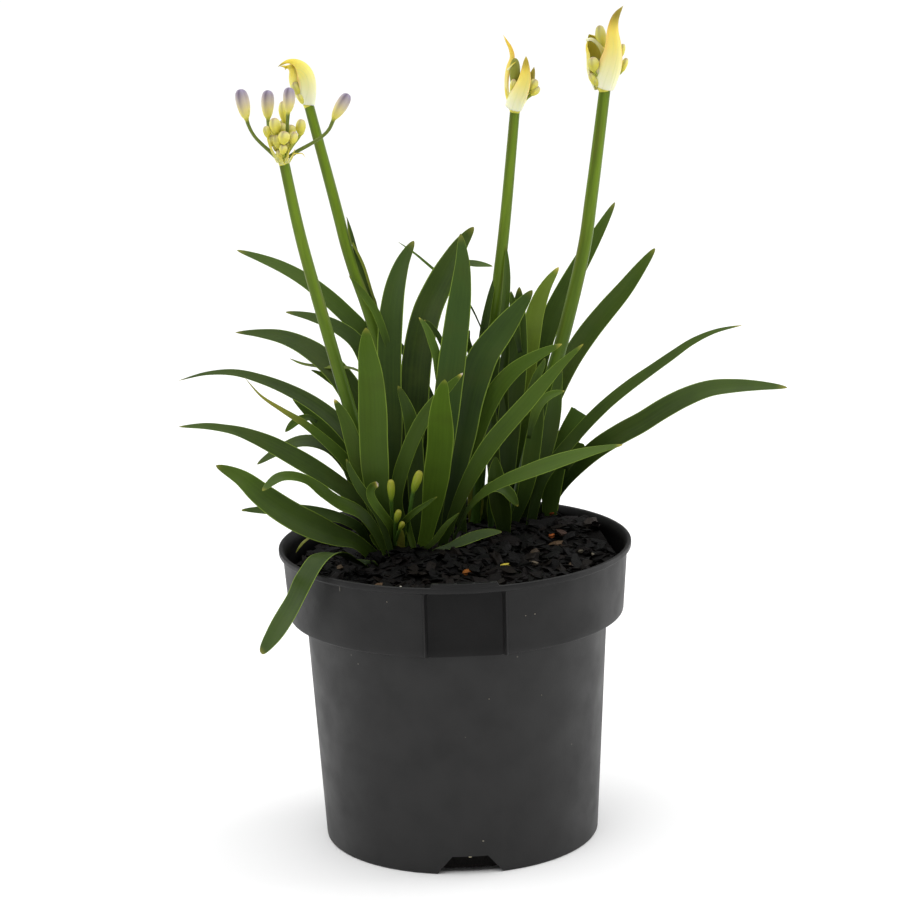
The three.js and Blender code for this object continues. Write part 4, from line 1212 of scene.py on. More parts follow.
# The leaf that is creased sharply over: centre line up to the crease, and of the flap behind it.
CREASED_LEAF = [
    (38.6, 44, 109), (40.5, 44, 129.5), (42.4, 44, 140.1), (44.7, 44, 146.4), (47.7, 44, 151.8),
    (50.4, 44, 157.2), (53.2, 44.4, 162),
]
CREASED_FLAP = [
    (53, 45.2, 161.6), (51.6, 46.8, 158), (50, 47.6, 152), (48.6, 48, 146),
]
# Seed of the unevenness of the blades' colours.
LEAF_SEED = 5


def leaf_piece(name, blade, look, rng):
    """A blade's skin, with how fresh, yellow and bluish it is all along, and the painted shade on its lower
    part.
    """
    look = Look(*look)
    phase = rng.uniform(0, 50)

    def looks_and_painted_shade(turn, run):
        drift = 0.12 * noise.noise(Vector((phase, run * 3, 0)))
        # Fresher towards the tip: partly the blade's own colour and partly painted light on its better lit
        # upper part.
        fresh_and_lit = look.fresh + drift + 0.2 * smoothstep(0.4, 1, run)
        pale = look.pale * (smoothstep(look.pale_from, look.pale_from + 0.25, run) if look.pale_from else 1)
        return {
            "fresh": min(max(fresh_and_lit, 0), 1.3),
            "tip": pale + look.tip * smoothstep(0.955, 1, run),
            "bloom": look.bloom * (0.7 + drift * 2),
            # Painted shade: the lower part is darkened, standing in for the shade among the crowded blades.
            "shade": look.shade * (1 - smoothstep(0.02, 0.5, run)),
        }

    along = int(min(max(blade.length / (2.2 * MM), 20), 72))
    return rolled(name, blade, 32, along, 1.45, looks_and_painted_shade)


def leaf_skin(leaf):
    """Living leaf with a waxy cuticle: satin deep green with fine veins along the blade.

    The margin is thin and lets light through, so it reads as a pale line; the underside is
    greyer, and the tip yellows.
    """
    material, tree, shader = new_material("leaf_cuticle", IOR=1.42, Specular_IOR_Level=0.22)
    fresh, bloom, under, edge, tip, shade = (
        add_node(tree, "ShaderNodeAttribute", attribute_name=name).outputs["Fac"]
        for name in ("fresh", "bloom", "under", "edge", "tip", "shade")
    )
    flat = add_node(tree, "ShaderNodeUVMap", uv_map="blade").outputs["UV"]
    place = add_node(tree, "ShaderNodeTexCoord").outputs["Object"]
    lengthwise = add_node(
        tree, "ShaderNodeMapping", {"Vector": flat, "Scale": (1 / leaf.vein_spacing, 1 / (45 * MM), 1)}
    )
    veins = add_node(
        tree, "ShaderNodeTexNoise", {"Vector": lengthwise.outputs["Vector"], "Scale": 1, "Detail": 2}
    )
    patches = add_node(tree, "ShaderNodeTexNoise", {"Vector": place, "Scale": 1 / (16 * MM), "Detail": 3})
    age = add_node(
        tree, "ShaderNodeMath", {0: veins.outputs["Fac"], 1: 0.45, 2: fresh},
        operation="MULTIPLY_ADD",
    )
    age_patched = add_node(
        tree, "ShaderNodeMath",
        {0: patches.outputs["Fac"], 1: 0.7, 2: age.outputs["Value"]},
        operation="MULTIPLY_ADD",
    )
    blade_colour = add_node(
        tree, "ShaderNodeMapRange",
        {"Value": age_patched.outputs["Value"], "From Min": 0.45, "From Max": 1.9, "To Min": 0, "To Max": 1},
    )
    green = add_node(
        tree, "ShaderNodeMix",
        {"Factor": blade_colour.outputs["Result"], "A": leaf.deep, "B": leaf.fresh},
        data_type="RGBA",
    )
    waxy = add_node(
        tree, "ShaderNodeMix", {"Factor": bloom, "A": green.outputs[2], "B": leaf.bloom},
        data_type="RGBA",
    )
    below = add_node(tree, "ShaderNodeMath", {0: under, 1: 0.75}, operation="MULTIPLY")
    sided = add_node(
        tree, "ShaderNodeMix",
        {"Factor": below.outputs["Value"], "A": waxy.outputs[2], "B": leaf.underside},
        data_type="RGBA",
    )
    rim = add_node(
        tree, "ShaderNodeMapRange",
        {"Value": edge, "From Min": 0.9, "From Max": 0.985, "To Min": 0, "To Max": 0.85},
        interpolation_type="SMOOTHSTEP",
    )
    rimmed = add_node(
        tree, "ShaderNodeMix",
        {"Factor": rim.outputs["Result"], "A": sided.outputs[2], "B": leaf.margin},
        data_type="RGBA",
    )
    tipped = add_node(
        tree, "ShaderNodeMix", {"Factor": tip, "A": rimmed.outputs[2], "B": leaf.tip}, data_type="RGBA"
    )
    bleaching = add_node(
        tree, "ShaderNodeMapRange",
        {"Value": tip, "From Min": 1, "From Max": 1.6, "To Min": 0, "To Max": 1},
    )
    bleached = add_node(
        tree, "ShaderNodeMix",
        {"Factor": bleaching.outputs["Result"], "A": tipped.outputs[2], "B": linear("#ddd0c0")},
        data_type="RGBA",
    )
    # Older patches are a little browner. The lower part is darkened with painted shade, which stands in for
    # the shade where the blades crowd.
    browning = add_node(
        tree, "ShaderNodeMapRange",
        {"Value": patches.outputs["Fac"], "From Min": 0.5, "From Max": 0.75, "To Min": 0, "To Max": 0.4},
    )
    browned = add_node(
        tree, "ShaderNodeMix",
        {"Factor": browning.outputs["Result"], "A": bleached.outputs[2], "B": linear("#3b4218")},
        data_type="RGBA",
    )
    painted_shade_share = add_node(tree, "ShaderNodeMath", {0: shade, 1: 0.72}, operation="MULTIPLY")
    shaded = add_node(
        tree, "ShaderNodeMix",
        {"Factor": painted_shade_share.outputs["Value"], "A": browned.outputs[2], "B": leaf.foot},
        data_type="RGBA",
    )
    tree.links.new(shaded.outputs[2], shader.inputs["Base Color"])
    gloss = add_node(
        tree, "ShaderNodeMapRange",
        {"Value": veins.outputs["Fac"], "From Min": 0.3, "From Max": 0.7, "To Min": 0.4, "To Max": 0.5},
    )
    tree.links.new(gloss.outputs["Result"], shader.inputs["Roughness"])
    bump = add_node(
        tree, "ShaderNodeBump", {"Height": veins.outputs["Fac"], "Strength": 0.3, "Distance": 0.1 * MM}
    )
    tree.links.new(bump.outputs["Normal"], shader.inputs["Normal"])
    return material


# ------------------------------------------------------------------ stems and flower heads


def scape_skin(flower):
    """Waxy flower stem: yellow-green with olive streaks, a faint brown flush, a soft gloss, and painted shade
    that darkens its foot.
    """
    material, tree, shader = new_material("scape_cuticle", Roughness=0.38, IOR=1.4, Specular_IOR_Level=0.2)
    shade = add_node(tree, "ShaderNodeAttribute", attribute_name="shade").outputs["Fac"]
    flat = add_node(tree, "ShaderNodeUVMap", uv_map="blade").outputs["UV"]
    lengthwise = add_node(
        tree, "ShaderNodeMapping", {"Vector": flat, "Scale": (1 / (2.6 * MM), 1 / (50 * MM), 1)}
    )
    streaks = add_node(
        tree, "ShaderNodeTexNoise", {"Vector": lengthwise.outputs["Vector"], "Scale": 1, "Detail": 3}
    )
    light = add_node(
        tree, "ShaderNodeMapRange",
        {"Value": streaks.outputs["Fac"], "From Min": 0.32, "From Max": 0.62, "To Min": 0.1, "To Max": 1},
    )
    green = add_node(
        tree, "ShaderNodeMix",
        {"Factor": light.outputs["Result"], "A": flower.stem_shade, "B": flower.stem},
        data_type="RGBA",
    )
    long_patches = add_node(
        tree, "ShaderNodeMapping", {"Vector": flat, "Scale": (1 / (6 * MM), 1 / (40 * MM), 1)}
    )
    patches = add_node(
        tree, "ShaderNodeTexNoise", {"Vector": long_patches.outputs["Vector"], "Scale": 1, "Detail": 4}
    )
    flush = add_node(
        tree, "ShaderNodeMapRange",
        {"Value": patches.outputs["Fac"], "From Min": 0.5, "From Max": 0.72, "To Min": 0, "To Max": 0.4},
    )
    flushed = add_node(
        tree, "ShaderNodeMix",
        {"Factor": flush.outputs["Result"], "A": green.outputs[2], "B": linear("#6e5226")},
        data_type="RGBA",
    )
    # Painted shade: the stem darkens towards its foot, standing in for the shade among the leaves.
    painted_foot_shade = add_node(
        tree, "ShaderNodeMix", {"Factor": shade, "A": flushed.outputs[2], "B": flower.stem_painted_shade},
        data_type="RGBA",
    )
    tree.links.new(painted_foot_shade.outputs[2], shader.inputs["Base Color"])
    bump = add_node(
        tree, "ShaderNodeBump", {"Height": streaks.outputs["Fac"], "Strength": 0.2, "Distance": 0.1 * MM}
    )
    tree.links.new(bump.outputs["Normal"], shader.inputs["Normal"])
    return material


def petal_skin(name, flower, stalk, line, stops):
    """Closed waxy petals on a green stalk: the colour changes from the neck of the bud to its tip.

    Each petal has a darker line along its middle, as strong as line says, and light passes
    through it a little.
    """
    material, tree, shader = new_material(
        name, Roughness=0.5, IOR=1.4, Specular_IOR_Level=0.3, Subsurface_Weight=0.25,
        Subsurface_Radius=(1.2 * MM, 1.0 * MM, 0.5 * MM), Subsurface_Scale=1.0,
    )
    ripening, petal_middle, tone = (
        add_node(tree, "ShaderNodeAttribute", attribute_name=fact).outputs["Fac"]
        for fact in ("bud", "streak", "tone")
    )
    ramp = add_node(tree, "ShaderNodeValToRGB", {"Fac": ripening}, stops=stops)
    streak = add_node(tree, "ShaderNodeMath", {0: petal_middle, 1: ripening}, operation="MULTIPLY")
    faint = add_node(
        tree, "ShaderNodeMath", {0: streak.outputs["Value"], 1: line}, operation="MULTIPLY", use_clamp=True
    )
    lined = add_node(
        tree, "ShaderNodeMix",
        {"Factor": faint.outputs["Value"], "A": ramp.outputs["Color"], "B": flower.petal_line},
        data_type="RGBA",
    )
    on_stalk = add_node(
        tree, "ShaderNodeMapRange",
        {"Value": ripening, "From Min": -0.08, "From Max": 0.1, "To Min": 1, "To Max": 0},
    )
    whole = add_node(
        tree, "ShaderNodeMix", {"Factor": on_stalk.outputs["Result"], "A": lined.outputs[2], "B": stalk},
        data_type="RGBA",
    )
    # Partly painted shade: buds inside the bracts and behind other buds are mixed towards olive.
    olive = add_node(
        tree, "ShaderNodeMix", {"Factor": tone, "A": whole.outputs[2], "B": flower.bud_olive_and_shade},
        data_type="RGBA",
    )
    tree.links.new(olive.outputs[2], shader.inputs["Base Color"])
    return material


def bract_skin(flower):
    """Papery bract: cream with green veins at the base, then yellow, and olive at the tip.

    The drying edge is orange, and light shines through the wall. The inside is olive-yellow, partly its own
    colour and partly painted shade within the curved wall.
    """
    material, tree, shader = new_material(
        "papery_bract", Roughness=0.55, IOR=1.4, Specular_IOR_Level=0.3, Subsurface_Weight=0.3,
        Subsurface_Radius=(1.5 * MM, 1.2 * MM, 0.4 * MM), Subsurface_Scale=1.0,
    )
    run, under, dry, olive = (
        add_node(tree, "ShaderNodeAttribute", attribute_name=name).outputs["Fac"]
        for name in ("run", "under", "dry", "olive")
    )
    flat = add_node(tree, "ShaderNodeUVMap", uv_map="blade").outputs["UV"]
    lengthwise = add_node(
        tree, "ShaderNodeMapping", {"Vector": flat, "Scale": (1 / (0.9 * MM), 1 / (24 * MM), 1)}
    )
    veins = add_node(
        tree, "ShaderNodeTexNoise", {"Vector": lengthwise.outputs["Vector"], "Scale": 1, "Detail": 3}
    )
    ramp = add_node(
        tree, "ShaderNodeValToRGB", {"Fac": run},
        stops=[
            (0.0, flower.bract_base), (0.3, linear("#efe9a4")), (0.5, flower.bract), (0.8, linear("#ead14c")),
        ],
    )
    vein_share = add_node(
        tree, "ShaderNodeMapRange",
        {"Value": veins.outputs["Fac"], "From Min": 0.52, "From Max": 0.75, "To Min": 0, "To Max": 0.55},
    )
    veined = add_node(
        tree, "ShaderNodeMix",
        {"Factor": vein_share.outputs["Result"], "A": ramp.outputs["Color"], "B": linear("#cbd489")},
        data_type="RGBA",
    )
    # The inside is mixed towards olive-yellow: partly its own colour and partly painted shade within the
    # curved wall.
    inside = add_node(tree, "ShaderNodeMath", {0: under, 1: 0.7}, operation="MULTIPLY")
    sided = add_node(
        tree, "ShaderNodeMix",
        {"Factor": inside.outputs["Value"], "A": veined.outputs[2], "B": linear("#b0b044")},
        data_type="RGBA",
    )
    warm = add_node(
        tree, "ShaderNodeMix", {"Factor": dry, "A": sided.outputs[2], "B": flower.bract_edge},
        data_type="RGBA",
    )
    tipped = add_node(
        tree, "ShaderNodeMix", {"Factor": olive, "A": warm.outputs[2], "B": flower.bract_tip},
        data_type="RGBA",
    )
    tree.links.new(tipped.outputs[2], shader.inputs["Base Color"])
    bump = add_node(
        tree, "ShaderNodeBump", {"Height": veins.outputs["Fac"], "Strength": 0.5, "Distance": 0.12 * MM}
    )
    tree.links.new(bump.outputs["Normal"], shader.inputs["Normal"])
    return material


def valve_piece(name, valve, left_dry=0.0, right_dry=0.0, all_dry=0.0, olive_from=0.75, olive=0.8,
                edge_from=0.35):
    """One bract half; how dry each edge and the whole wall are, and where its tip turns olive.

    The drying of the edges starts at the share edge_from of the way from the spine.
    """

    def weather(turn, run):
        across = crossing(turn)
        edge = smoothstep(edge_from, 1, abs(across)) * (left_dry if across < 0 else right_dry)
        lengthwise = smoothstep(0.12, 0.4, run)
        return {
            "dry": min((edge + all_dry) * lengthwise, 1),
            "olive": olive * smoothstep(olive_from, min(olive_from + 0.22, 1), run),
        }

    return rolled(name, valve, 36, 40, 1.1, weather)


def bud_piece(name, shoot, tone=0.0):
    """A bud with its stalk; tone is how far it is mixed towards olive, partly its own colour and partly
    painted shade.
    """
    return rolled(name, shoot, 30, 34, 1.25, lambda turn, run: {"tone": tone})


# Radius of a small bud's stalk, in millimetres.
SMALL_STALK = 0.6


def small_bud(heart, base, tip, radius, tone=0.0):
    """A short-stalked bud from the heart of the head."""
    heart, base, tip = Vector(heart), Vector(base), Vector(tip)
    path = [heart, heart.lerp(base, 0.5) + (tip - base) * 0.04, base, base.lerp(tip, 0.5), tip]
    return bud_piece("bud", Shoot.bud(path, (tip - base).length, SMALL_STALK, radius), tone)


def receptacle(place, radius):
    """The swollen top of a stem, where the stalks and bracts meet."""
    low, high = Vector(place) + Vector((0, 0, -1.6)), Vector(place) + Vector((0, 0, 1.8))
    swelling = [(0, radius * 0.86), (0.45, radius * 1.1), (1, radius * 0.7)]
    form = Shoot([low, low.lerp(high, 0.5), high], swelling, 0)
    return rolled("receptacle", form, 24, 8, 1.0, lambda turn, run: {"tone": 0.0})


# Flower stems: node, radius at the foot, and centre line, in millimetres.
STEMS = [
    ("stem_left", 2.7, [
        (-19.9, 10.4, 108), (-21.8, 10, 115), (-30, 8, 140), (-38.6, 6, 168), (-48, 3, 206),
        (-56.8, 0, 244), (-62.3, -2, 275.2),
    ]),
    ("stem_back_left", 2.6, [
        (-10.9, 29.8, 108), (-12.1, 30, 115), (-21, 32, 164), (-32, 34, 206.5), (-39.4, 36, 230),
        (-45, 38, 254), (-54, 40, 292.6),
    ]),
    ("stem_centre", 2.6, [
        (7.8, 46.1, 108), (8.6, 46, 115), (14, 45, 168), (19.3, 44, 210), (22.2, 43, 231), (24.7, 43, 251),
        (28.7, 42, 287.6),
    ]),
    ("stem_right", 3, [
        (22.2, 48.2, 108), (24, 48, 114), (34, 47, 154), (44.9, 46, 188.5), (54.6, 44, 226),
        (58.6, 43, 250), (64.9, 41, 295.4),
    ]),
]
# Left head: the place where all its stalks meet, then base, tip, radius and tone of each small bud;
# tone is partly the bud's own olive and partly painted shade for buds deep in the knot.
LEFT_HEART = (-62.4, -2.5, 275.6)
LEFT_KNOT = [
    ((-64.5, -5, 286.3), (-65.3, -6, 292.4), 2.3, 0), ((-67.7, -4, 284.8), (-68.6, -4, 289.2), 1.6, 0.05),
    ((-61.8, -8, 282.5), (-61.2, -8.5, 287.5), 2.35, 0), ((-58.8, -5, 282.3), (-57.5, -6, 286.9), 1.9, 0),
    ((-62.2, -7, 278.6), (-61.8, -8, 282.4), 1.7, 0), ((-63.7, -6, 280.8), (-64.6, -6.5, 285.9), 2.0, 0.25),
    ((-55.9, 1.5, 284.4), (-55, 2, 290.8), 2.05, 0), ((-62.2, 3, 285.2), (-62.3, 4, 290.5), 1.9, 0.3),
    ((-63.2, -5, 276.8), (-63.6, -6.6, 280), 1.6, 0.1), ((-61.5, 0, 289.8), (-61.9, 0, 298.2), 2.0, 0),
    ((-60, 4, 283), (-59.6, 5, 287.6), 2.0, 0.15), ((-65.6, 3, 283.4), (-66.4, 4, 288), 1.9, 0.2),
    ((-59.6, 0, 284.2), (-58.8, 0, 289), 2.0, 0.1), ((-62, -2, 280.6), (-62, -2.4, 286), 2.6, 0.35),
    ((-65.6, -3, 281), (-66.6, -3.6, 285.6), 1.8, 0.15), ((-62.6, -1, 284), (-62.6, -1.4, 290), 2.2, 0.15),
    ((-60.8, -3, 279.8), (-59.8, -3.6, 283.6), 1.8, 0.2), ((-64.4, -3, 279), (-65, -3.4, 282.8), 1.7, 0.2),
]
# Coloured buds: node, path of stalk and bud, length and radius of the bud, in millimetres.
LAVENDER_BUDS = [
    ("bud_left_outer", [
        (-64.6, -2.8, 276.2), (-66.8, -3.2, 278.6), (-70, -3.8, 281.8), (-72.9, -4.2, 285.1),
        (-74.8, -4.6, 288.7), (-75.8, -5, 292.2), (-76.9, -5.6, 298), (-77.8, -6, 303.9),
    ], 12.2, 2.75),
    ("bud_left_back", [
        (-63, 0.8, 277.4), (-65.6, 4, 281), (-67.7, 6, 284), (-68.4, 9, 287.6), (-68.5, 11, 290),
        (-68.6, 11.6, 295), (-68.2, 12, 301.3),
    ], 11.4, 2.65),
    ("bud_left_front", [
        (-61.6, -1.4, 277.6), (-60.9, -2.6, 283.1), (-60.3, -5, 287.3), (-59.8, -8, 291.8),
        (-59.4, -9.4, 295), (-59, -9.8, 299), (-58.6, -10, 304.5),
    ], 10, 2.45),
    ("bud_left_right", [
        (-60.4, -1.2, 276.4), (-56.7, 0, 278.7), (-52.8, 1, 280.6), (-48.9, 2, 282.7), (-45.7, 3, 285),
        (-43.7, 3.6, 287.6), (-42.8, 4, 289.9), (-39.8, 4.5, 294.8), (-36.6, 5, 299.8),
    ], 11.6, 2.5),
]


# Thickness of the narrow strips and threads that are left of an opened bract.
STRIP_WALL = 0.25 * MM


def left_head(lavender, green, papery):
    """The open head: four coloured buds on long stalks, the knot of small ones, dry bract strips."""
    for node, path, length, radius in LAVENDER_BUDS:
        form = Shoot.bud(path, length, 0.78, radius, blunt=0.84, seam_depth=0.22)
        hand_over(bud_piece(node.removeprefix("bud_") + "_bud", form), lavender, "bud_lavender", node)
    knot = [small_bud(LEFT_HEART, base, tip, radius, tone) for base, tip, radius, tone in LEFT_KNOT]
    knot.append(receptacle((-62.3, -2, 275), 2.1))
    hand_over(join("left_small_buds", knot), green, "bud_green", "small_buds_left")
    # Each strip of the opened bract: centre line, width, open side and dryness.
    strips = [
        ([(-63, -4.2, 274.8), (-65.5, -6, 278.1), (-67.1, -7.4, 282.3), (-67.8, -8, 285.5),
          (-66.2, -8, 288)], 1.5, (-0.5, -0.8, 0), 0),
        ([(-60.4, -4.4, 275.2), (-58.3, -6, 278.1), (-56.4, -7, 278.5), (-54.6, -8, 278.6),
          (-53.2, -9, 276.7)], 1.0, (0, -0.4, 0.9), 0.15),
        ([(-64.4, -3.6, 274.8), (-66.4, -4.6, 279.4), (-66.9, -4.8, 284)], 1.3, (-0.8, -0.6, 0), 0),
        ([(-61.2, -5, 274.8), (-60.2, -8, 278), (-59.4, -8.6, 281.4)], 1.0, (0.3, -0.9, 0), 0.1),
        ([(-62.8, -4.6, 274.2), (-63, -7, 276.6), (-64, -7.8, 279)], 1.7, (-0.2, -1, 0), 0),
        ([(-60.6, -3.8, 274.6), (-58.6, -5, 277.6), (-57.4, -5.4, 280.6)], 1.2, (0.6, -0.8, 0), 0),
    ]
    pieces = []
    for path, width, side, dry in strips:
        radii = [(0, width), (0.5, width * 0.8), (1, 0)]
        strip = Valve(path, side, side, radii, [(0, 34), (1, 26)], STRIP_WALL)
        pieces.append(valve_piece("strip", strip, left_dry=0.05, right_dry=0.12, all_dry=dry, olive=0))
    hand_over(join("left_bract_remains", pieces), papery, "spathe", "spathe_left_remnant")


def back_left_head(green, papery):
    """The hooded head: one bract half bent over to a beak, a second behind it, buds in between."""
    hood = Valve(
        [(-51.6, 40, 291.7), (-51, 40, 295.6), (-50.8, 40, 300), (-51.6, 40, 304.2), (-53.5, 40, 307.4),
         (-56.2, 40, 309.4), (-59.2, 40, 310.2), (-62.3, 39.6, 309.7), (-65.8, 39, 307.4)],
        (-1, 0.1, 0), (-0.25, 0.1, -1),
        [(0, 2.9), (0.1, 3.6), (0.3, 4.6), (0.5, 4.6), (0.62, 3.7), (0.74, 2.2), (0.84, 1.1), (0.93, 0.55),
         (1, 0)],
        [(0, 172), (0.15, 120), (0.35, 106), (0.6, 104), (0.8, 90), (1, 70)],
    )
    piece = valve_piece(
        "hood", hood, left_dry=0.1, right_dry=0.75, olive_from=0.84, olive=0.9, edge_from=0.84
    )
    hand_over(piece, papery, "spathe", "spathe_back_left")
    second = Valve(
        [(-55, 41, 291.6), (-57.8, 41.4, 294), (-60.4, 42, 297.6), (-61.3, 42, 302), (-61.1, 42, 305.6),
         (-62.4, 42, 307.3), (-65.2, 41.6, 307.5)],
        (1, 0.1, 0), (0.7, 0.2, -0.7),
        [(0, 1.8), (0.25, 3.4), (0.5, 3.8), (0.68, 3.4), (0.8, 1.9), (0.9, 0.8), (1, 0)],
        [(0, 90), (0.4, 116), (0.7, 108), (1, 60)],
    )
    piece = valve_piece("hood_back_half", second, left_dry=0.05, right_dry=0.05, olive_from=0.86, olive=0.6)
    hand_over(piece, papery, "spathe")
    heart = (-53.9, 40, 292)
    knot = [
        small_bud(heart, (-57, 38.5, 295.8), (-59.4, 37.6, 301.4), 2.0, 0.25),
        small_bud(heart, (-55.6, 38.4, 292.6), (-57.8, 37.4, 297), 1.5),
        small_bud(heart, (-55.6, 40, 298), (-57, 40, 304.5), 1.8, 0.7),
        receptacle((-54, 40, 292.2), 2.0),
    ]
    hand_over(join("back_left_buds", knot), green, "bud_green", "buds_back_left")


def centre_head(green, papery):
    """The split head: a twisted drying ribbon, a broad front half, a small third, buds between."""
    ribbon = Valve(
        [(27.4, 43, 288), (25.8, 43.6, 291.8), (25.2, 44, 295.4), (25.4, 44, 300), (26.2, 44, 304.1),
         (27.8, 44, 308), (27.4, 44, 311.6), (26.1, 44, 314.5), (24.6, 44, 317.5)],
        (1, 0.5, 0), (0.4, 1, 0),
        [(0, 2.2), (0.2, 1.6), (0.45, 1.3), (0.7, 1.3), (0.85, 0.9), (1, 0)],
        [(0, 60), (0.3, 54), (0.6, 60), (1, 40)],
    )
    piece = valve_piece(
        "ribbon_bract", ribbon, left_dry=0.5, right_dry=0.5, all_dry=0.18, olive_from=0.97, olive=0.2
    )
    hand_over(piece, papery, "spathe", "spathe_centre_left")
    front = Valve(
        [(28.6, 38.6, 287.4), (30, 37.4, 291.4), (31.7, 36.8, 295.6), (33, 36.8, 300), (33.4, 37.6, 304.6),
         (33.5, 39, 309.2)],
        (-0.25, 1, 0), (-0.1, 1, 0),
        [(0, 3.4), (0.2, 3.6), (0.5, 2.9), (0.75, 1.9), (0.9, 1.1), (1, 0)],
        [(0, 100), (0.2, 84), (0.6, 76), (1, 60)],
    )
    piece = valve_piece(
        "front_bract", front, left_dry=0.6, right_dry=0.2, all_dry=0.08, olive_from=0.68, olive=0.6
    )
    hand_over(piece, papery, "spathe", "spathe_centre_front")
    # Each dry thread: centre line and width.
    threads = [
        ([(26.9, 40.6, 287.6), (26.3, 40.8, 290.4), (25.4, 42, 293.6), (25.1, 43, 297)], 0.7),
        ([(26, 40.8, 303.6), (27.9, 40.4, 305.6), (29.6, 40, 307)], 0.35),
        ([(28, 40, 288), (27.4, 40.2, 291.6), (26.8, 40.6, 294.6)], 0.6),
    ]
    pieces = []
    for path, width in threads:
        radii = [(0, width), (0.6, width), (1, 0)]
        thread = Valve(path, (0, 1, 0), (0, 1, 0), radii, [(0, 50), (1, 40)], STRIP_WALL)
        pieces.append(valve_piece("thread", thread, olive=0))
    hand_over(join("centre_bract_threads", pieces), papery, "spathe")
    third = Valve(
        [(32, 43.6, 290), (34.6, 44, 294.4), (35.8, 44.2, 299), (36.8, 44, 304.4)],
        (-0.4, 1, 0), (-0.4, 1, 0), [(0, 1.2), (0.5, 1.7), (0.8, 1.2), (1, 0)], [(0, 80), (1, 60)],
    )
    piece = valve_piece("third_bract", third, left_dry=0.1, right_dry=0.2, olive_from=0.5)
    hand_over(piece, papery, "spathe")
    heart = (28.8, 42, 288.4)
    knot = [
        small_bud(heart, (28.6, 42.6, 296), (29.2, 42, 308.2), 2.2, 0.95),
        small_bud(heart, (27.6, 41, 294.5), (28.5, 40, 300), 1.3),
        small_bud(heart, (27.4, 41.4, 290.6), (28, 40, 296), 1.3),
        small_bud(heart, (35, 43, 294.8), (37.4, 42.6, 299.4), 1.9),
        small_bud(heart, (35.2, 43.4, 293), (38.5, 43, 296.4), 1.75),
        small_bud(heart, (32, 43, 296), (33, 43, 303), 1.7, 0.5),
        receptacle((28.7, 42, 287.6), 2.1),
    ]
    hand_over(join("centre_buds", knot), green, "bud_green", "buds_centre")


def right_head(green, papery):
    """The tallest head: a tall flame-shaped half in front, a folded half, buds at both sides."""
    tall = Valve(
        [(64.9, 37, 295), (66.3, 36, 299.2), (67.8, 35.2, 304), (68.8, 35, 309), (69, 35.6, 313.6),
         (68.8, 36.6, 318), (69.3, 37.6, 322), (70.6, 38.6, 325.2), (72.6, 39.6, 328)],
        (-0.2, 1, 0), (-0.5, 1, 0),
        [(0, 4.2), (0.14, 4.7), (0.32, 4.8), (0.52, 3.6), (0.75, 2.2), (0.88, 1.4), (1, 0)],
        [(0, 96), (0.16, 84), (0.5, 74), (0.8, 74), (1, 60)],
    )
    piece = valve_piece("tall_bract", tall, left_dry=0.8, right_dry=0.45, all_dry=0.1, olive_from=0.66)
    hand_over(piece, papery, "spathe", "spathe_right_tall")
    pocket = Valve(
        [(62.2, 46, 294.2), (61.4, 46.4, 298.6), (60.8, 46.6, 302.8), (61, 46.6, 306.8), (61, 46.4, 310.8),
         (60.2, 45.4, 314.4), (58.9, 44, 316.6)],
        (0.2, -1, 0), (0.15, -1, -0.5),
        [(0, 1.6), (0.25, 3.0), (0.5, 3.7), (0.75, 3.7), (0.9, 2.6), (1, 0.2)],
        [(0, 110), (0.4, 122), (0.8, 124), (1, 80)],
    )
    rim = Valve(
        [(57.6, 42.6, 314.5), (59.9, 41.4, 314.8), (62.2, 40.4, 313.3), (63.9, 39.8, 310.5),
         (64.7, 39.4, 307), (64.3, 39.4, 303.6), (62.4, 39.6, 300.8)],
        (0, 1, -0.2), (0, 1, -0.2), [(0, 0.5), (0.3, 0.8), (0.7, 0.9), (1, 0.4)], [(0, 70), (1, 70)],
    )
    folded = [
        valve_piece("pocket", pocket, left_dry=0.05, right_dry=0.05, olive_from=0.9, olive=0.5),
        valve_piece("rim", rim, olive_from=0, olive=0.5),
    ]
    hand_over(join("folded_bract", folded), papery, "spathe", "spathe_right_folded")
    heart = (64.6, 41, 296)
    knot = [
        small_bud(heart, (64, 42, 310.4), (63.1, 42, 320.3), 2.25, 0.3),
        small_bud(heart, (60.6, 36.8, 302.4), (59.8, 36, 308.3), 2.3, 0.15),
        small_bud(heart, (61.1, 38.4, 297), (58.8, 38, 301.8), 1.5),
        small_bud(heart, (62.6, 43.6, 300), (62.2, 43, 307), 1.6, 0.7),
        small_bud(heart, (71.5, 45, 307.3), (72.7, 45, 312.4), 1.25),
        small_bud(heart, (71.7, 44, 301.4), (73.9, 44, 306.8), 1.35),
        small_bud(heart, (62.4, 38.4, 296.2), (60.2, 38, 300), 1.4, 0.2),
        receptacle((64.6, 41, 295.2), 2.4),
    ]
    hand_over(join("right_buds", knot), green, "bud_green", "buds_right")


# Young buds at the front: node or none, path, length of the bud, radii of stalk and bud.
YOUNG_BUDS = [
    ("young_bud_left", [
        (-25.1, 5, 115.2), (-25, 2, 121), (-24.7, -4, 129.6), (-24.6, -7, 135.7), (-24.6, -9, 140.4),
        (-24.6, -9.4, 148.8),
    ], 8.6, 0.7, 1.6),
    ("young_bud_right", [
        (-20.6, 6, 114.8), (-19.1, 2, 123.3), (-18.2, -4, 130.2), (-17.1, -8, 137.4), (-15.9, -9.5, 143.4),
        (-12.8, -10.4, 152.3),
    ], 9.4, 0.8, 1.8),
    (None, [
        (-24, 0, 119.4), (-23.6, -5, 127), (-22.8, -8, 132), (-21.6, -9, 136.2),
    ], 5.6, 0.8, 1.4),
    (None, [
        (-23.5, -2, 122), (-22, -6.6, 126.8), (-20.3, -9, 131.2),
    ], 4, 0.7, 1.15),
]


# ------------------------------------------------------------------ operators

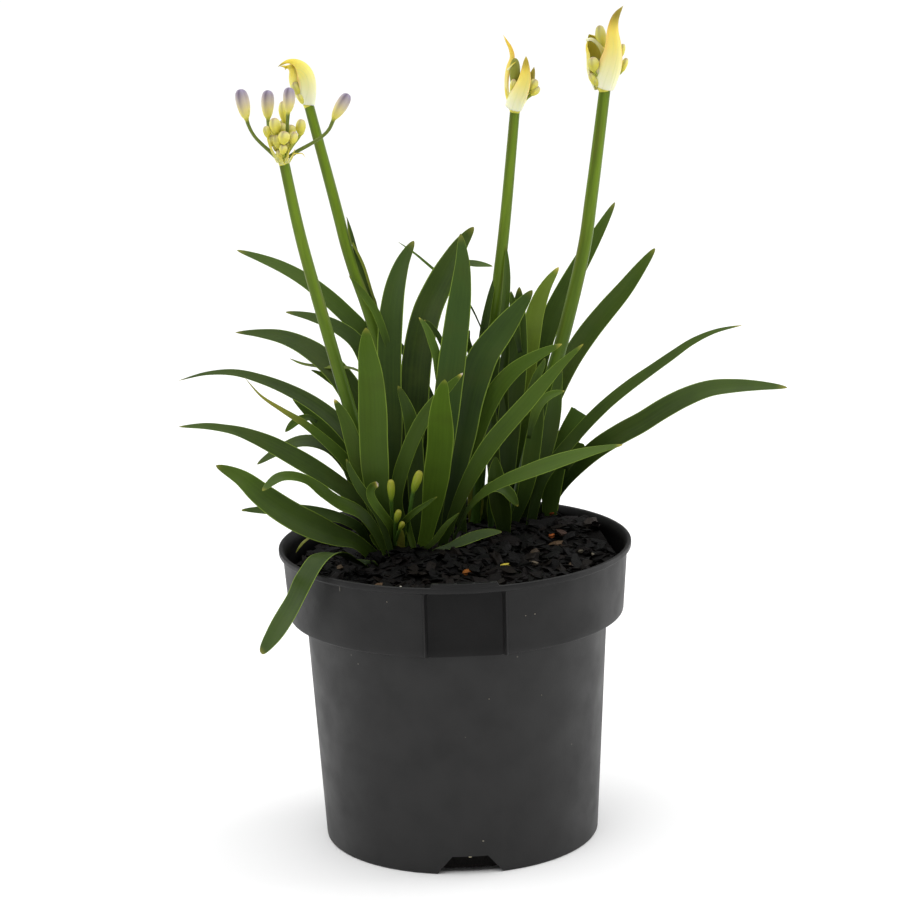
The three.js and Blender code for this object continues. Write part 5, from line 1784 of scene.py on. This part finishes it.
# Soft boxes: name, place and size in metres. Their power is in the stage's settings.
SOFT_BOXES = [
    ("key", (-0.75, -0.9, 1.35), 1.1),
    ("left", (-1.3, 0.35, 0.6), 1.0),
    ("right", (1.25, 0.4, 0.6), 1.0),
]
PLANT_MIDDLE = Vector((0, 0, 0.16))
# The ceiling is a sun that is as wide as this, so that it gives even light without a shadow's edge.
CEILING_WIDTH = math.radians(100)
FLOOR_SIZE = 30


class AGAPANTHUS_OT_stage(bpy.types.Operator):
    """Sets the camera, the pale floor and the soft lights"""

    bl_idname = "agapanthus.stage"
    bl_label = "Stage"

    def execute(self, context):
        stage = context.scene.agapanthus_stage
        deselect()
        forward = Vector((
            -math.sin(stage.yaw) * math.cos(stage.pitch),
            math.cos(stage.yaw) * math.cos(stage.pitch),
            -math.sin(stage.pitch),
        ))
        level = Vector((math.cos(stage.yaw), math.sin(stage.yaw), 0))
        upright = level.cross(forward)
        right = level * math.cos(stage.roll) - upright * math.sin(stage.roll)
        up = level * math.sin(stage.roll) + upright * math.cos(stage.roll)
        turn = Matrix((right, up, -forward)).transposed().to_4x4()
        bpy.ops.object.camera_add()
        camera = context.object
        camera.name = "camera"
        camera.data.lens = stage.lens
        camera.matrix_world = Matrix.Translation((stage.camera_x, stage.camera_y, stage.camera_z)) @ turn
        context.scene.camera = camera
        deselect()
        bpy.ops.mesh.primitive_plane_add(size=FLOOR_SIZE)
        floor = context.object
        floor.name = "floor"
        material, _, shader = new_material("white_card", Roughness=0.9)
        shader.inputs["Base Color"].default_value = stage.floor
        floor.data.materials.append(material)
        for name, place, size in SOFT_BOXES:
            self.soft_box(context, name, place, size, getattr(stage, name))
        bpy.ops.object.light_add(type="SUN", location=(0, 0, 2))
        context.object.name = "ceiling"
        context.object.data.angle = CEILING_WIDTH
        context.object.data.energy = stage.ceiling
        world = bpy.data.worlds.new("white_room")
        world.use_nodes = True
        background = world.node_tree.nodes["Background"]
        background.inputs["Color"].default_value = (1, 1, 1, 1)
        background.inputs["Strength"].default_value = stage.sky
        context.scene.world = world
        context.scene.view_settings.view_transform = "Standard"
        return {"FINISHED"}

    @staticmethod
    def soft_box(context, name, place, size, power):
        bpy.ops.object.light_add(type="AREA", location=place)
        lamp = context.object
        lamp.name = name
        lamp.data.shape = "SQUARE"
        lamp.data.size = size
        lamp.data.energy = power
        aim = PLANT_MIDDLE - Vector(place)
        lamp.rotation_euler = aim.to_track_quat("-Z", "Y").to_euler()


class AGAPANTHUS_OT_pot(bpy.types.Operator):
    """Makes the nursery pot with its label panel, slotted tab and drain notches"""

    bl_idname = "agapanthus.pot"
    bl_label = "Nursery pot"

    def execute(self, context):
        pot = context.scene.agapanthus_pot
        shell = make_pot(pot)
        smooth(shell, 32)
        hand_over(shell, moulded_plastic(pot), "pot_plastic", "pot")
        return {"FINISHED"}


class AGAPANTHUS_OT_compost(bpy.types.Operator):
    """Fills the pot with fines and scatters the bark chips"""

    bl_idname = "agapanthus.compost"
    bl_label = "Compost"

    def execute(self, context):
        compost = context.scene.agapanthus_compost
        pot = context.scene.agapanthus_pot
        hand_over(make_compost(compost, pot), moist_fines(compost), "compost", "potting_mix")
        bark_material = bark()
        hand_over(make_chips(compost), bark_material, "compost")
        hand_over(make_specks(), bark_material, "compost")
        return {"FINISHED"}


class AGAPANTHUS_OT_leaves(bpy.types.Operator):
    """Makes a fine blade over each leaf of the three shoots"""

    bl_idname = "agapanthus.leaves"
    bl_label = "Leaves"

    def execute(self, context):
        material = leaf_skin(context.scene.agapanthus_leaf)
        rng = random.Random(LEAF_SEED)
        for node in sorted(n for n in frame["nodes"] if n.startswith("leaf_")):
            name = node.removeprefix("leaf_")
            look = LEAF_LOOKS.get(name, USUAL_LOOK)
            if name == "right_folded":
                piece = self.creased_leaf(look, rng)
            else:
                blade = Blade.of_node(node)
                outline = Outline(*LEAF_FORMS.get(name, ()))
                blade.width *= outline.width
                blade.slender, blade.foot_share, blade.full = outline[1:]
                blade.shift(*LEAF_BOWS.get(name, (0, 0, 0.5)))
                piece = leaf_piece(name + "_leaf", blade, look, rng)
            hand_over(piece, material, SLOT_OF_NODE[node], node)
        for shoot in ("left", "middle", "right"):
            small = []
            for owner, width, look, sides, path in SMALL_LEAVES:
                if owner == shoot:
                    blade = Blade.of_path(path, width, sides)
                    # A bleached tip has dried and is blunt.
                    blade.slender = -1.2 if Look(*look).tip > 1.5 else 0
                    small.append(leaf_piece("small", blade, look, rng))
            hand_over(join(shoot + "_small_leaves", small), material, "leaf")
        return {"FINISHED"}

    @staticmethod
    def creased_leaf(look, rng):
        """A blade that ends square at its crease, with the rest hanging behind it."""
        front = Blade.of_path(CREASED_LEAF, 9.4, (-0.45, -1, 0.25), 0.06, 0.9 * MM)
        front.pointed = False
        flap = Blade.of_path(CREASED_FLAP, 7, (0.45, 1, 0), 0.06, 0.7 * MM)
        flap.foot_share = 1
        parts = [leaf_piece("blade", front, look, rng), leaf_piece("flap", flap, look, rng)]
        return join("right_folded_leaf", parts)


class AGAPANTHUS_OT_stems(bpy.types.Operator):
    """Makes the four flower stems"""

    bl_idname = "agapanthus.stems"
    bl_label = "Flower stems"

    def execute(self, context):
        material = scape_skin(context.scene.agapanthus_flower)
        for node, radius, path in STEMS:
            stem = Shoot(path, [(0, radius), (0.6, radius * 0.92), (0.97, radius * 0.78), (1, radius * 0.76)])
            piece = rolled(node.removeprefix("stem_") + "_stem", stem, 28, 90, extra=self.shading)
            hand_over(piece, material, "stem", node)
        return {"FINISHED"}

    @staticmethod
    def shading(turn, run):
        """Painted shade: a stem is darker towards its foot, where it stands among the leaves."""
        return {"shade": 0.9 * (1 - smoothstep(0.05, 0.9, run))}


class AGAPANTHUS_OT_heads(bpy.types.Operator):
    """Makes the four flower heads and the young buds at the front"""

    bl_idname = "agapanthus.heads"
    bl_label = "Flower heads"

    def execute(self, context):
        flower = context.scene.agapanthus_flower
        papery = bract_skin(flower)
        lavender = petal_skin("lavender_petal", flower, flower.stalk, 0.8, [
            (0.0, linear("#d6cf48")), (0.35, linear("#dccf86")), (0.62, linear("#c6b9a6")),
            (0.95, flower.lavender),
        ])
        green = petal_skin("green_bud", flower, linear("#98a138"), 0.5, [
            (0.0, flower.bud_green), (0.5, linear("#e2d95c")), (0.85, linear("#dfd888")),
            (1.0, linear("#bfa883")),
        ])
        left_head(lavender, green, papery)
        back_left_head(green, papery)
        centre_head(green, papery)
        right_head(green, papery)
        young = petal_skin("young_bud", flower, linear("#3c5a1c"), 0.15, [
            (0.0, linear("#66801f")), (0.5, linear("#8b9a26")), (0.9, linear("#9a9c30")),
            (1.0, linear("#8f8a3a")),
        ])
        for node, path, length, stalk, bud in YOUNG_BUDS:
            piece = bud_piece(node or "young_bud_low", Shoot.bud(path, length, stalk, bud, blunt=0.8))
            hand_over(piece, young, "bud_green", *([node] if node else []))
        return {"FINISHED"}


SETTINGS = {
    "agapanthus_pot": PotSettings,
    "agapanthus_compost": CompostSettings,
    "agapanthus_leaf": LeafSettings,
    "agapanthus_flower": FlowerSettings,
    "agapanthus_stage": StageSettings,
}
OPERATORS = (
    AGAPANTHUS_OT_stage,
    AGAPANTHUS_OT_pot,
    AGAPANTHUS_OT_compost,
    AGAPANTHUS_OT_leaves,
    AGAPANTHUS_OT_stems,
    AGAPANTHUS_OT_heads,
)
STEPS = [operator.bl_idname for operator in OPERATORS]


class AGAPANTHUS_PT_sidebar(bpy.types.Panel):
    """Lists the steps in order"""

    bl_label = "Agapanthus"
    bl_space_type = "VIEW_3D"
    bl_region_type = "UI"
    bl_category = "Agapanthus"

    def draw(self, context):
        for step in STEPS:
            self.layout.operator(step)


CLASSES = (*SETTINGS.values(), *OPERATORS, AGAPANTHUS_PT_sidebar)


def register():
    for made in CLASSES:
        bpy.utils.register_class(made)
    for name, group in SETTINGS.items():
        setattr(bpy.types.Scene, name, PointerProperty(type=group))


def unregister():
    for name in SETTINGS:
        delattr(bpy.types.Scene, name)
    for made in reversed(CLASSES):
        bpy.utils.unregister_class(made)


def main():
    """Makes every piece in order."""
    register()
    for step in STEPS:
        getattr(bpy.ops.agapanthus, step.split(".")[1])()


if __name__ == "__main__":
    main()
